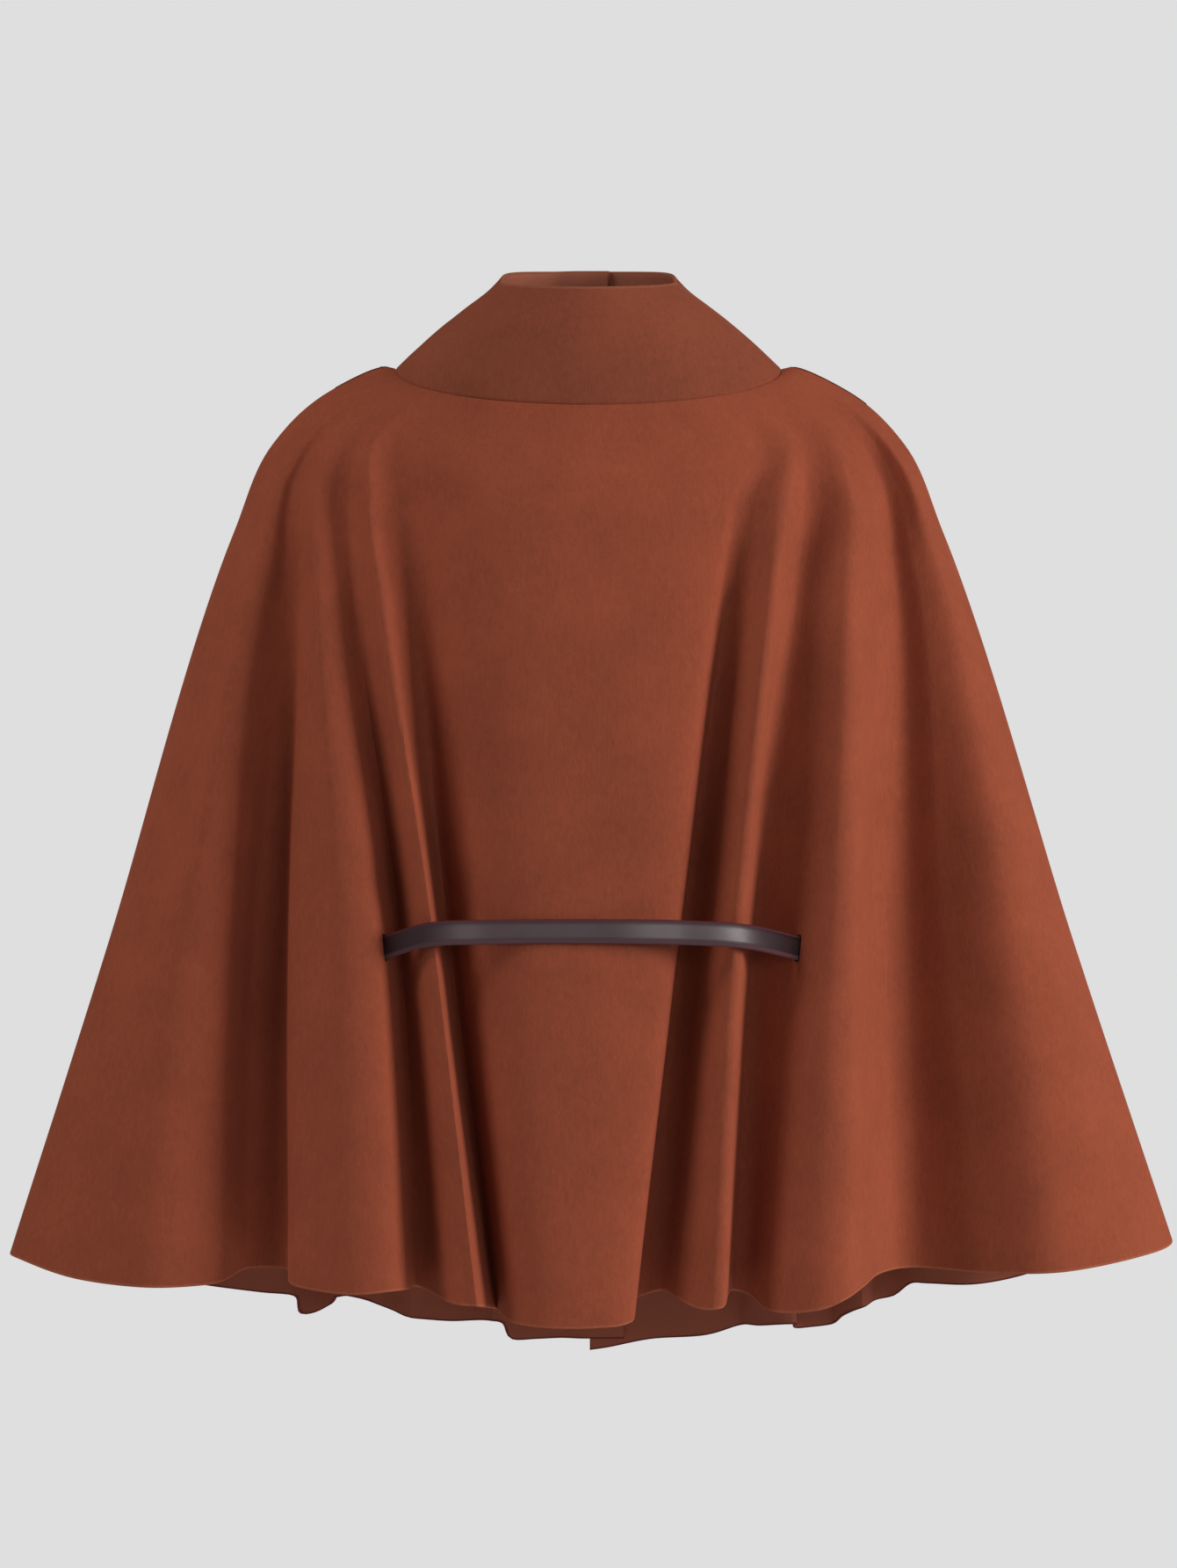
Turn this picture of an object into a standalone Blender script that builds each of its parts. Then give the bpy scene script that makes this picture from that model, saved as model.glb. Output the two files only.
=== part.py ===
"""Belted cape jacket in felted wool, worn open at the neck and the hem with nobody inside.

The back is one panel and the front two, hung from a wide funnel collar in deep upright folds. A slim
belt crosses the back on the outside, dives through a slit on each side, runs inside the two wings,
comes out through two slits in the fronts and is buckled at the middle.

Frame: the wearer faces +Y and the wearer's right is +X. The origin is halfway between the two points
where the collar meets the shoulders, which is where the wearer's shoulders carry the jacket.
"""

import math
from collections import namedtuple

import bmesh
import bpy
import numpy as np

MM = 0.001

# Driving sizes, in millimetres
CLOTH_WALL = 2.6
COLLAR_WALL = 3.0
SEAM_GAP = 0.3
COLLAR_GAP = 1.1
LAP_SINK = 3.8
RIGHT_EDGE_X = 1.0
LEFT_EDGE_X = 17.0
STRAP_WIDTH = 17.5
STRAP_WALL = 2.5
SLIT_GAP = 0.5
SLIT_REACH = 17.0
STRAP_STEP = 12.0
KEEPER_X = -24.0
KEEPER_LONG = 9.0
KEEPER_WALL = 1.5
KEEPER_GAP = 0.4
BUCKLE_LONG = 30.0
BUCKLE_TALL = 27.0
BUCKLE_BAR = 3.0
BUCKLE_THICK = 2.4
BUCKLE_TILT = 8.0
BUCKLED_Y = 144.2
BUCKLED_Z = -438.0
TAIL_Y = BUCKLED_Y + STRAP_WALL + 0.7
BUCKLE_MIDDLE = (10.4, BUCKLED_Y + 3.8, BUCKLED_Z)
PRONG_RADIUS = 1.0
PRONG_HOLE_GAP = 0.4
COLLAR_COLUMNS = 38
COLLAR_ROW_STEPS = (2, 2, 1)
COLLAR_SINK_DEGREES = (155, 173)
TRIM_REACH = 600.0

# Level rings of the jacket's smooth form, from the neckline down. growth is how far the folds have grown.
Ring = namedtuple("Ring", "name down half_width back_depth front_depth side_z back_z front_z roundness growth")
RINGS = (
    Ring("neck", 0.00, 143, 88, 92, 0, -34, -62, 2.0, 0.0),
    Ring("knoll", 0.025, 154, 92, 97, 1.6, -44, -72, 2.0, 0.0),
    Ring("slope", 0.07, 191, 104, 110, -16, -72, -98, 2.1, 0.0),
    Ring("shoulder", 0.15, 234, 116, 122, -56, -113, -135, 2.2, 0.12),
    Ring("arm", 0.25, 262, 128, 132, -120, -170, -190, 2.3, 0.32),
    Ring("belt", 0.63, 355, 138, 140, -425, -411, -436, 2.4, 1.0),
    Ring("hem", 1.00, 427, 172, 172, -653, -687, -740, 2.4, 1.0),
)
ROWS_BETWEEN_RINGS = (1, 2, 2, 2, 4, 3)

# Fold lines, each running from the neckline to the hem: where it passes the rings, how far it lies inside
# the smooth form at the belt and at the hem, how low its hem is, and the columns up to the next line
Fold = namedtuple("Fold", "name shoulder_x arm_x belt_x hem_x belt_in hem_in hem_z steps lap", defaults=(0.0,))
BACK_FOLDS = (
    Fold("left side", -234, -262, -355, -427, 0, 0, -653, 2),
    Fold("left wing turn", -226, -253, -342, -411, 0, 0, -654, 2),
    Fold("left wing crest", -217, -243, -301, -343, 4, 0, -661, 2),
    Fold("left wing foot", -212, -230, -258, -276, 24, 18, -662, 2),
    Fold("left wing valley", -205, -216, -223, -222, 48, 58, -654, 1),
    Fold("left pleat start", -200, -208, -213, -209, 9, 8, -661, 2),
    Fold("left pleat crest", -190, -191, -177, -168, -2, -2, -664, 2),
    Fold("left pleat edge", -179, -178, -141, -128, 22, 18, -662, 1),
    Fold("left pleat valley", -171, -168, -131, -115, 47, 58, -667, 2),
    Fold("left ridge crest", -157, -153, -113, -89, -2, -2, -673, 1),
    Fold("left ridge edge", -148, -144, -103, -71, 10, 14, -674, 1),
    Fold("left ridge valley", -132, -124, -97, -63, 47, 64, -681, 2),
    Fold("middle panel left", -106, -94, -72, -49, 5, 3, -685, 3),
    Fold("middle panel", 0, 0, -3, -6, 0, 0, -687, 3),
    Fold("middle panel right", 98, 91, 60, 32, 1, 4, -685, 2),
    Fold("right ridge valley", 122, 114, 78, 50, 46, 66, -671, 1),
    Fold("right ridge foot", 133, 128, 90, 62, 18, 22, -673, 1),
    Fold("right ridge crest", 146, 144, 104, 84, -2, -2, -675, 1),
    Fold("right ridge edge", 153, 152, 114, 98, 9, 14, -675, 2),
    Fold("right pleat valley", 168, 170, 132, 113, 44, 60, -668, 2),
    Fold("right pleat foot", 181, 183, 163, 150, 19, 15, -678, 2),
    Fold("right pleat crest", 196, 194, 207, 205, -6, -4, -675, 1),
    Fold("right pleat edge", 206, 207, 230, 229, 5, 10, -671, 2),
    Fold("right wing valley", 216, 222, 250, 255, 29, 46, -656, 2),
    Fold("right wing foot", 220, 230, 276, 292, 12, 16, -663, 2),
    Fold("right wing crest", 224, 240, 304, 340, 2, 0, -656, 2),
    Fold("right wing turn", 229, 253, 345, 414, 0, 0, -645, 2),
    Fold("right side", 234, 262, 359, 431, 0, 0, -643, 1),
)
RIGHT_FRONT_FOLDS = (
    Fold("right side", 234, 262, 359, 431, 0, 0, -643, 2),
    Fold("right wing turn", 227, 253, 345, 414, 0, 0, -651, 2),
    Fold("right wing crest", 207, 233, 304, 352, 0, 0, -672, 3),
    Fold("right wing valley", 194, 214, 268, 302, 25, 34, -690, 3),
    Fold("right wing second crest", 180, 197, 234, 262, -2, -3, -697, 3),
    Fold("right wing second valley", 166, 178, 202, 225, 33, 54, -710, 3),
    Fold("right pleat crest", 150, 160, 170, 200, -1, -2, -717, 3),
    Fold("right pleat valley", 134, 138, 133, 172, 31, 50, -726, 3),
    Fold("right pleat ridge", 116, 116, 112, 138, -1, -2, -729, 3),
    Fold("right soft valley", 84, 80, 76, 92, 6, 12, -737, 2),
    Fold("right front panel", 44, 42, 40, 46, 0, 0, -741, 2),
    Fold("right front edge", 1, 1, 1, 1, 0, 0, -747, 1),
)
LEFT_FRONT_FOLDS = (
    Fold("left under edge", 28, 28, 28, 28, 0, 0, -740, 1, LAP_SINK),
    Fold("left underlap", 10, 10, 10, 10, 0, 0, -740, 1, LAP_SINK),
    Fold("left lap turn", -7, -7, -7, -7, 0, 0, -740, 1, LAP_SINK),
    Fold("left lap step", -24, -22, -20, -20, 0, 0, -740, 1),
    Fold("left front panel", -50, -44, -38, -34, 0, 0, -741, 2),
    Fold("left soft valley", -78, -72, -66, -58, 10, 40, -734, 3),
    Fold("left pleat ridge", -108, -106, -108, -98, -1, -2, -726, 3),
    Fold("left pleat valley", -130, -132, -133, -136, 31, 30, -719, 3),
    Fold("left pleat crest", -150, -158, -170, -174, -1, -3, -712, 3),
    Fold("left wing second valley", -166, -178, -200, -206, 34, 58, -713, 3),
    Fold("left wing second crest", -180, -197, -230, -246, -2, -4, -700, 3),
    Fold("left wing valley", -194, -214, -264, -290, 26, 34, -697, 3),
    Fold("left wing crest", -207, -233, -302, -348, 0, 0, -681, 2),
    Fold("left wing turn", -227, -253, -342, -411, 0, 0, -658, 2),
    Fold("left side", -234, -262, -355, -427, 0, 0, -653, 1),
)

# Collar rings, from its seam up: the cone leans forward and stands higher at the throat. flat is the power
# that gives each ring's rise from its sides to the throat: below 1 the front edge runs level
CollarRing = namedtuple("CollarRing", "name up half_width back_depth front_depth side_z back_z front_z flat")
COLLAR_RINGS = (
    CollarRing("seam", 0.0, 143, 88, 92, 0, -34, -62, 1.0),
    CollarRing("low", 0.33, 118, 84.5, 92, 23.5, -4, -14, 1.0),
    CollarRing("high", 0.67, 92, 76, 87, 44.5, 26, 34, 0.8),
    CollarRing("rim", 1.0, 64, 62, 72, 65, 54, 81.5, 0.5),
)

# The strap's inner face, from its buckled end round the wearer's left, the back and the right to its tip
Turn = namedtuple("Turn", "name x y z slit", defaults=("",))
BELT_ROUTE = (
    Turn("buckled end", -5.4, BUCKLED_Y, BUCKLED_Z),
    Turn("under the keeper", KEEPER_X, BUCKLED_Y, BUCKLED_Z),
    Turn("left front", -62, 143.0, -438),
    Turn("left front ridge", -107, 139.6, -437.5),
    Turn("left front slit", -150, 114.5, -436, "front_left"),
    Turn("left wing front", -168, 91, -435),
    Turn("left side front", -176, 45, -434),
    Turn("left side", -178, 0, -432),
    Turn("left side back", -175, -50, -430),
    Turn("left wing back", -165, -98, -428),
    Turn("left back slit", -148, -115, -424.5, "back"),
    Turn("left back ridge", -113, -137.9, -413.5),
    Turn("back left", -70, -139.6, -411.5),
    Turn("back middle", 0, -141.8, -410.9),
    Turn("back right middle", 30, -142.9, -411.0),
    Turn("back right", 66, -140.6, -411.8),
    Turn("right back ridge", 104, -138.5, -414),
    Turn("right back slit", 156, -102, -426, "back"),
    Turn("right wing back", 171, -78, -428.5),
    Turn("right side back", 178, -40, -430.5),
    Turn("right side", 180, 5, -432.5),
    Turn("right side front", 177, 50, -434),
    Turn("right wing front", 168, 91, -435),
    Turn("right front slit", 150, 114.5, -436, "front_right"),
    Turn("right front ridge", 111, 139.8, -437.5),
    Turn("right front", 66, 143.0, -438),
    Turn("under the end bar", 25, BUCKLED_Y - 0.4, BUCKLED_Z),
    Turn("rising over the heel bar", 8, BUCKLED_Y + 1.6, BUCKLED_Z),
    Turn("over the heel bar", -4, BUCKLED_Y + 4.2, BUCKLED_Z),
    Turn("in the keeper", KEEPER_X, TAIL_Y, BUCKLED_Z),
    Turn("tail", -60, 146.2, -438),
    Turn("tail tip", -92, 144.5, -438),
)
PRONG_ROUTE = (
    Turn("on the heel bar", -3.2, BUCKLED_Y + 1.3, BUCKLED_Z),
    Turn("under the tail", 2.5, BUCKLED_Y + 0.6, BUCKLED_Z),
    Turn("through the hole", 8, BUCKLED_Y + 3.8, BUCKLED_Z),
    Turn("over the tail", 14, BUCKLED_Y + 6.6, BUCKLED_Z),
    Turn("on the end bar", 25.5, BUCKLED_Y + 8.0, BUCKLED_Z),
)

# name: linear colour, roughness, metallic
FINISHES = {
    "wool": ((0.26, 0.075, 0.036), 0.9, 0.0),
    "collar_wool": ((0.22, 0.062, 0.031), 0.9, 0.0),
    "belt_leather": ((0.045, 0.034, 0.037), 0.42, 0.0),
    "buckle_metal": ((0.06, 0.05, 0.05), 0.35, 0.9),
}


def clear_scene():
    for obj in list(bpy.data.objects):
        bpy.data.objects.remove(obj, do_unlink=True)


def new_collection(name):
    collection = bpy.data.collections.new(name)
    bpy.context.scene.collection.children.link(collection)
    return collection


def finish(name):
    """The plain material of a part, from the table of finishes."""
    material = bpy.data.materials.get(name)
    if material is None:
        colour, roughness, metallic = FINISHES[name]
        material = bpy.data.materials.new(name)
        material.use_nodes = True
        shader = material.node_tree.nodes["Principled BSDF"]
        shader.inputs["Base Color"].default_value = (*colour, 1.0)
        shader.inputs["Roughness"].default_value = roughness
        shader.inputs["Metallic"].default_value = metallic
    return material


def mesh_object(name, bm, collection):
    mesh = bpy.data.meshes.new(name)
    bm.to_mesh(mesh)
    bm.free()
    obj = bpy.data.objects.new(name, mesh)
    collection.objects.link(obj)
    return obj


def hide_as_cutter(obj):
    obj.hide_render = True
    obj.display_type = "WIRE"


def tangents(points, knots):
    """Slopes of a smooth curve through points: the mean of the two spans' slopes, weighted by the far span."""
    spans = np.diff(knots)
    slopes = np.diff(points, axis=0) / spans.reshape(-1, *[1] * (points.ndim - 1))
    result = np.empty_like(points)
    result[0] = slopes[0]
    result[-1] = slopes[-1]
    for i in range(1, len(points) - 1):
        before = spans[i - 1]
        after = spans[i]
        result[i] = (slopes[i - 1] * after + slopes[i] * before) / (before + after)
    return result


def smooth(points, knots, steps):
    """Points along the smooth curve through points, with steps[i] pieces between point i and the next."""
    points = np.asarray(points, dtype=float)
    slope = tangents(points, knots)
    result = []
    for i, count in enumerate(steps):
        span = knots[i + 1] - knots[i]
        for k in range(count):
            s = k / count
            start = (1 + 2 * s) * (1 - s) ** 2 * points[i] + s * (1 - s) ** 2 * span * slope[i]
            end = s * s * (3 - 2 * s) * points[i + 1] - s * s * (1 - s) * span * slope[i + 1]
            result.append(start + end)
    result.append(points[-1])
    return np.array(result)


def even_knots(points):
    """Knots spaced by the square root of the distance, which keeps a curve through sharp folds from looping."""
    gaps = np.sqrt(np.linalg.norm(np.diff(np.asarray(points, dtype=float), axis=0), axis=1))
    return np.concatenate(([0.0], np.cumsum(gaps)))


def fold_x(ring, fold):
    """Where a fold line passes a ring. Above the shoulder it keeps its share of the ring's width."""
    if ring.name in ("neck", "knoll", "slope"):
        shoulder = next(ring for ring in RINGS if ring.name == "shoulder")
        return fold.shoulder_x * ring.half_width / shoulder.half_width
    return getattr(fold, ring.name + "_x")


def fold_point(ring, fold, side):
    """The point of a fold line on a ring; side is -1 on the back and +1 on the front."""
    x = fold_x(ring, fold)
    share = min(abs(x) / ring.half_width, 1.0)
    round_share = (1.0 - share**ring.roundness) ** (1.0 / ring.roundness)
    depth = ring.back_depth if side < 0 else ring.front_depth
    inward = (fold.hem_in if ring.name == "hem" else fold.belt_in) * ring.growth + fold.lap
    y = side * (depth * round_share - inward)
    middle_z = ring.back_z if side < 0 else ring.front_z
    z = ring.side_z + (middle_z - ring.side_z) * round_share
    if ring.name == "hem":
        z = fold.hem_z
    return (x, y, z)


def panel_rows(folds, side):
    """The panel's outer surface as rows of points, from the neckline to the hem."""
    steps = [fold.steps for fold in folds[:-1]]
    across = []
    for ring in RINGS:
        line = [fold_point(ring, fold, side) for fold in folds]
        across.append(smooth(line, even_knots(line), steps))
    down = [ring.down for ring in RINGS]
    return smooth(np.array(across), down, ROWS_BETWEEN_RINGS)


def past_side_seam(rows, at_start, at_end):
    """Adds a column past each side seam, so that the wall runs square through the plane that cuts it."""
    flip = np.array([1.0, -1.0, 1.0])
    parts = [rows]
    if at_start:
        parts.insert(0, rows[:, 1:2] * flip)
    if at_end:
        parts.append(rows[:, -2:-1] * flip)
    return np.concatenate(parts, axis=1)


def shell(name, rows, wall, collection, offset=-1.0):
    """A wall on a grid of points, whose columns run left to right as seen from outside."""
    count_down, count_across = rows.shape[:2]
    bm = bmesh.new()
    bmesh.ops.create_grid(bm, x_segments=count_across - 1, y_segments=count_down - 1, size=1.0)
    for vert in bm.verts:
        column = round((vert.co.x + 1.0) / 2.0 * (count_across - 1))
        row = round((1.0 - vert.co.y) / 2.0 * (count_down - 1))
        vert.co = rows[row, column] * MM
    obj = mesh_object(name, bm, collection)
    solidify = obj.modifiers.new("wall", "SOLIDIFY")
    solidify.thickness = wall * MM
    solidify.offset = offset
    return obj


def block(name, low, high, collection):
    """A box between two corners, in millimetres."""
    bm = bmesh.new()
    bmesh.ops.create_cube(bm, size=1.0)
    low = np.array(low) * MM
    high = np.array(high) * MM
    for vert in bm.verts:
        vert.co = low + (np.array(vert.co) + 0.5) * (high - low)
    return mesh_object(name, bm, collection)


def boolean(obj, other, operation):
    modifier = obj.modifiers.new(other.name, "BOOLEAN")
    modifier.operation = operation
    modifier.solver = "EXACT"
    modifier.object = other
    return modifier


def cut(obj, cutter):
    boolean(obj, cutter, "DIFFERENCE")
    hide_as_cutter(cutter)


def make_panels(parts, cutters):
    """The back and the two fronts, trimmed to a flat seam along each side."""
    far = TRIM_REACH
    half_gap = SEAM_GAP / 2
    front_space = block("front_space", (-far, -half_gap, -2 * far), (far, far, far), cutters)
    back_space = block("back_space", (-far, -far, -2 * far), (far, half_gap, far), cutters)
    panels = {}
    for name, folds, side, at_start, at_end, trim in (
        ("back", BACK_FOLDS, -1, True, True, front_space),
        ("front_right", RIGHT_FRONT_FOLDS, 1, True, False, back_space),
        ("front_left", LEFT_FRONT_FOLDS, 1, False, True, back_space),
    ):
        rows = past_side_seam(panel_rows(folds, side), at_start, at_end)
        panels[name] = shell(name, rows, CLOTH_WALL, parts)
        cut(panels[name], trim)
        panels[name].data.materials.append(finish("wool"))
    return panels


def collar_rows():
    """The collar's outer surface, from its rim to its seam. Its left end passes under its right one."""
    up = [ring.up for ring in COLLAR_RINGS]
    table = np.array([ring[2:] for ring in COLLAR_RINGS], dtype=float)
    rings = smooth(table, up, COLLAR_ROW_STEPS)
    sink_from, sink_to = COLLAR_SINK_DEGREES
    rows = []
    for half_width, back_depth, front_depth, side_z, back_z, front_z, flat in rings:
        start = -math.pi - math.asin(LEFT_EDGE_X / half_width)
        end = math.pi - math.asin(RIGHT_EDGE_X / half_width)
        row = []
        for k in range(COLLAR_COLUMNS + 1):
            angle = start + (end - start) * k / COLLAR_COLUMNS
            across = math.sin(angle)
            along = math.cos(angle)
            sunk = (-math.degrees(angle) - sink_from) / (sink_to - sink_from)
            sink = LAP_SINK * min(max(sunk, 0.0), 1.0)
            depth = back_depth if along > 0 else front_depth
            x = (half_width - sink) * across
            y = -(depth - sink) * along
            rise = (back_z - side_z) * along if along > 0 else (front_z - side_z) * abs(along) ** flat
            row.append((x, y, side_z + rise))
        rows.append(row)
    rows = np.array(rows)
    lift = rows[1] - rows[0]
    rows[0] += lift / np.linalg.norm(lift, axis=1, keepdims=True) * COLLAR_GAP
    return rows[::-1]


def make_collar(parts):
    collar = shell("collar", collar_rows(), COLLAR_WALL, parts)
    collar.data.materials.append(finish("collar_wool"))
    return collar


def route_points(route):
    """A smooth route through the named turns, and the index at which each turn lies on it."""
    points = np.array([(turn.x, turn.y, turn.z) for turn in route], dtype=float)
    gaps = np.linalg.norm(np.diff(points, axis=0), axis=1)
    steps = [max(1, round(gap / STRAP_STEP)) for gap in gaps]
    starts = np.concatenate(([0], np.cumsum(steps)))
    return smooth(points, even_knots(points), steps), starts


def strap(name, points, width, inner, wall, collection):
    """A flat strap on edge along points: inner is how far its inner face lies outside them."""
    along = np.gradient(points, axis=0)
    outward = np.stack([along[:, 1], -along[:, 0], np.zeros(len(points))], axis=1)
    outward /= np.linalg.norm(outward, axis=1, keepdims=True)
    upright = np.array([0.0, 0.0, width / 2])
    face = points + outward * inner
    return shell(name, np.array([face + upright, face - upright]), wall, collection, offset=1.0)


def part_of_route(points, middle, reach):
    """The stretch of a route within reach of one of its points."""
    near = np.linalg.norm(points - points[middle], axis=1) <= reach
    return points[near]


def make_belt(parts, cutters, panels):
    """The strap, and the slit that it leaves in a panel wherever it passes through one."""
    points, starts = route_points(BELT_ROUTE)
    belt = strap("belt", points, STRAP_WIDTH, 0.0, STRAP_WALL, parts)
    belt.data.materials.append(finish("belt_leather"))
    for turn, start in zip(BELT_ROUTE, starts):
        if turn.slit:
            stretch = part_of_route(points, start, SLIT_REACH)
            width = STRAP_WIDTH + 2 * SLIT_GAP
            wall = STRAP_WALL + 2 * SLIT_GAP
            cutter = strap(turn.name.replace(" ", "_"), stretch, width, -SLIT_GAP, wall, cutters)
            cut(panels[turn.slit], cutter)
    return belt


def rod(name, route, radius, collection):
    """A round rod through the named turns, as a closed mesh."""
    points, _ = route_points(route)
    curve = bpy.data.curves.new(name, "CURVE")
    curve.dimensions = "3D"
    curve.bevel_depth = radius * MM
    curve.bevel_resolution = 2
    curve.use_fill_caps = True
    spline = curve.splines.new("POLY")
    spline.points.add(len(points) - 1)
    for point, co in zip(spline.points, points):
        point.co = (*(co * MM), 1.0)
    drawn = bpy.data.objects.new(name + "_curve", curve)
    collection.objects.link(drawn)
    bpy.context.view_layer.update()
    mesh = bpy.data.meshes.new_from_object(drawn.evaluated_get(bpy.context.evaluated_depsgraph_get()))
    bm = bmesh.new()
    bm.from_mesh(mesh)
    bpy.data.objects.remove(drawn, do_unlink=True)
    bmesh.ops.remove_doubles(bm, verts=bm.verts, dist=0.00001)
    bmesh.ops.recalc_face_normals(bm, faces=bm.faces)
    return mesh_object(name, bm, collection)


def make_buckle(parts, cutters, belt):
    """A plain rectangular frame that leans on the strap, with its prong through a hole in the tail."""
    half = (BUCKLE_LONG / 2, BUCKLE_THICK / 2, BUCKLE_TALL / 2)
    buckle = block("belt_buckle", [-size for size in half], half, parts)
    window = (half[0] - BUCKLE_BAR, 2 * BUCKLE_THICK, half[2] - BUCKLE_BAR)
    opening = block("buckle_window", [-size for size in window], window, cutters)
    for obj in (buckle, opening):
        obj.location = [size * MM for size in BUCKLE_MIDDLE]
        obj.rotation_euler.z = math.radians(BUCKLE_TILT)
    cut(buckle, opening)
    prong = rod("buckle_prong", PRONG_ROUTE, PRONG_RADIUS, cutters)
    boolean(buckle, prong, "UNION")
    hide_as_cutter(prong)
    buckle.data.materials.append(finish("buckle_metal"))
    hole = rod("prong_hole", PRONG_ROUTE, PRONG_RADIUS + PRONG_HOLE_GAP, cutters)
    cut(belt, hole)
    return buckle


def make_keeper(parts, cutters):
    """A leather loop round both layers of the strap."""
    inner_y = BUCKLED_Y - KEEPER_GAP
    outer_y = TAIL_Y + STRAP_WALL + 2 * KEEPER_GAP
    half_tall = STRAP_WIDTH / 2 + KEEPER_GAP
    low = (KEEPER_X - KEEPER_LONG / 2, inner_y - KEEPER_WALL, BUCKLED_Z - half_tall - KEEPER_WALL)
    high = (KEEPER_X + KEEPER_LONG / 2, outer_y + KEEPER_WALL, BUCKLED_Z + half_tall + KEEPER_WALL)
    keeper = block("belt_keeper", low, high, parts)
    through_low = (KEEPER_X - KEEPER_LONG, inner_y, BUCKLED_Z - half_tall)
    through_high = (KEEPER_X + KEEPER_LONG, outer_y, BUCKLED_Z + half_tall)
    cut(keeper, block("keeper_hole", through_low, through_high, cutters))
    keeper.data.materials.append(finish("belt_leather"))
    return keeper


def main():
    clear_scene()
    parts = new_collection("belted_cape_jacket")
    cutters = new_collection("cutters")
    panels = make_panels(parts, cutters)
    make_collar(parts)
    belt = make_belt(parts, cutters, panels)
    make_buckle(parts, cutters, belt)
    make_keeper(parts, cutters)


main()
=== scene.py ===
"""Looks of a belted cape jacket in felted wool, worn open at the neck and the hem with nobody inside.

The panels hang from the collar in fold lines. A table names each line: where it passes the level rings of
the jacket's smooth form and how far it lies inside that form. The belt, its keeper and its buckle follow
the route that the solids hold. Lengths in the tables are millimetres, and settings are metres.
"""

import math
from collections import namedtuple

import bmesh
import bpy
import numpy as np
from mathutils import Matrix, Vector, noise


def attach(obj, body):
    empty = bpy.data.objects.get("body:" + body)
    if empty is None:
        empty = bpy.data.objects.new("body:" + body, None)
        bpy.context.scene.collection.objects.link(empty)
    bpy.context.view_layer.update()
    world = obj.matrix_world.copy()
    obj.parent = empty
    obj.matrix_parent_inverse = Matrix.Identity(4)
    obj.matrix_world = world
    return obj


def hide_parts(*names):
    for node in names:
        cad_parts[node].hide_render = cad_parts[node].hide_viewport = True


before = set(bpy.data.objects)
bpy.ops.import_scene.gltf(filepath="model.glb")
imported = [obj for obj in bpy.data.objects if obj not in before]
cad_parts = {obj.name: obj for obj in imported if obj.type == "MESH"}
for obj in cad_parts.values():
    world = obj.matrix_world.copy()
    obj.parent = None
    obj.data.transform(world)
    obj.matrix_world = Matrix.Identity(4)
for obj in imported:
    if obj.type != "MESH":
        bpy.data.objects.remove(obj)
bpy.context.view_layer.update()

bl_info = {
    "name": "Belted cape jacket",
    "version": (1, 0, 0),
    "blender": (4, 5, 0),
    "location": "3D View > Sidebar > Cape jacket",
    "description": "Models a felted wool cape jacket with its belt and its studio stage",
    "category": "Add Mesh",
}

MM = 0.001
BODY = "root"

# Level rings of the jacket's smooth form, from the neckline down, and the mesh rows up to the next ring. Down
# is the share of the cloth's length above a ring, and roundness shapes its plan
Ring = namedtuple("Ring", "name down half_width back_depth front_depth side_z back_z front_z roundness rows")
RINGS = (
    Ring("neck", 0.00, 143, 88, 92, 0, -34, -62, 2.0, 3),
    Ring("knoll", 0.025, 154, 92, 97, 1.2, -44, -72, 2.0, 9),
    Ring("slope", 0.07, 191, 104, 110, -16, -72, -98, 2.1, 11),
    Ring("shoulder", 0.15, 234, 116, 122, -56, -113, -135, 2.2, 13),
    Ring("arm", 0.25, 262, 128, 132, -120, -170, -190, 2.3, 54),
    Ring("belt", 0.63, 355, 138, 140, -425, -411, -436, 2.4, 46),
    Ring("hem", 1.00, 427, 172, 172, -653, -687, -740, 2.4, 0),
)
# Above the shoulder: how fold lines climb to the neckline, and how much of a fold is left on the slope
SHOULDER_HALF_WIDTH = next(ring.half_width for ring in RINGS if ring.name == "shoulder")
CLIMB = 0.6
UPRIGHT_WITHIN = 60.0
SLOPE_SHARE = 0.25

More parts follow.
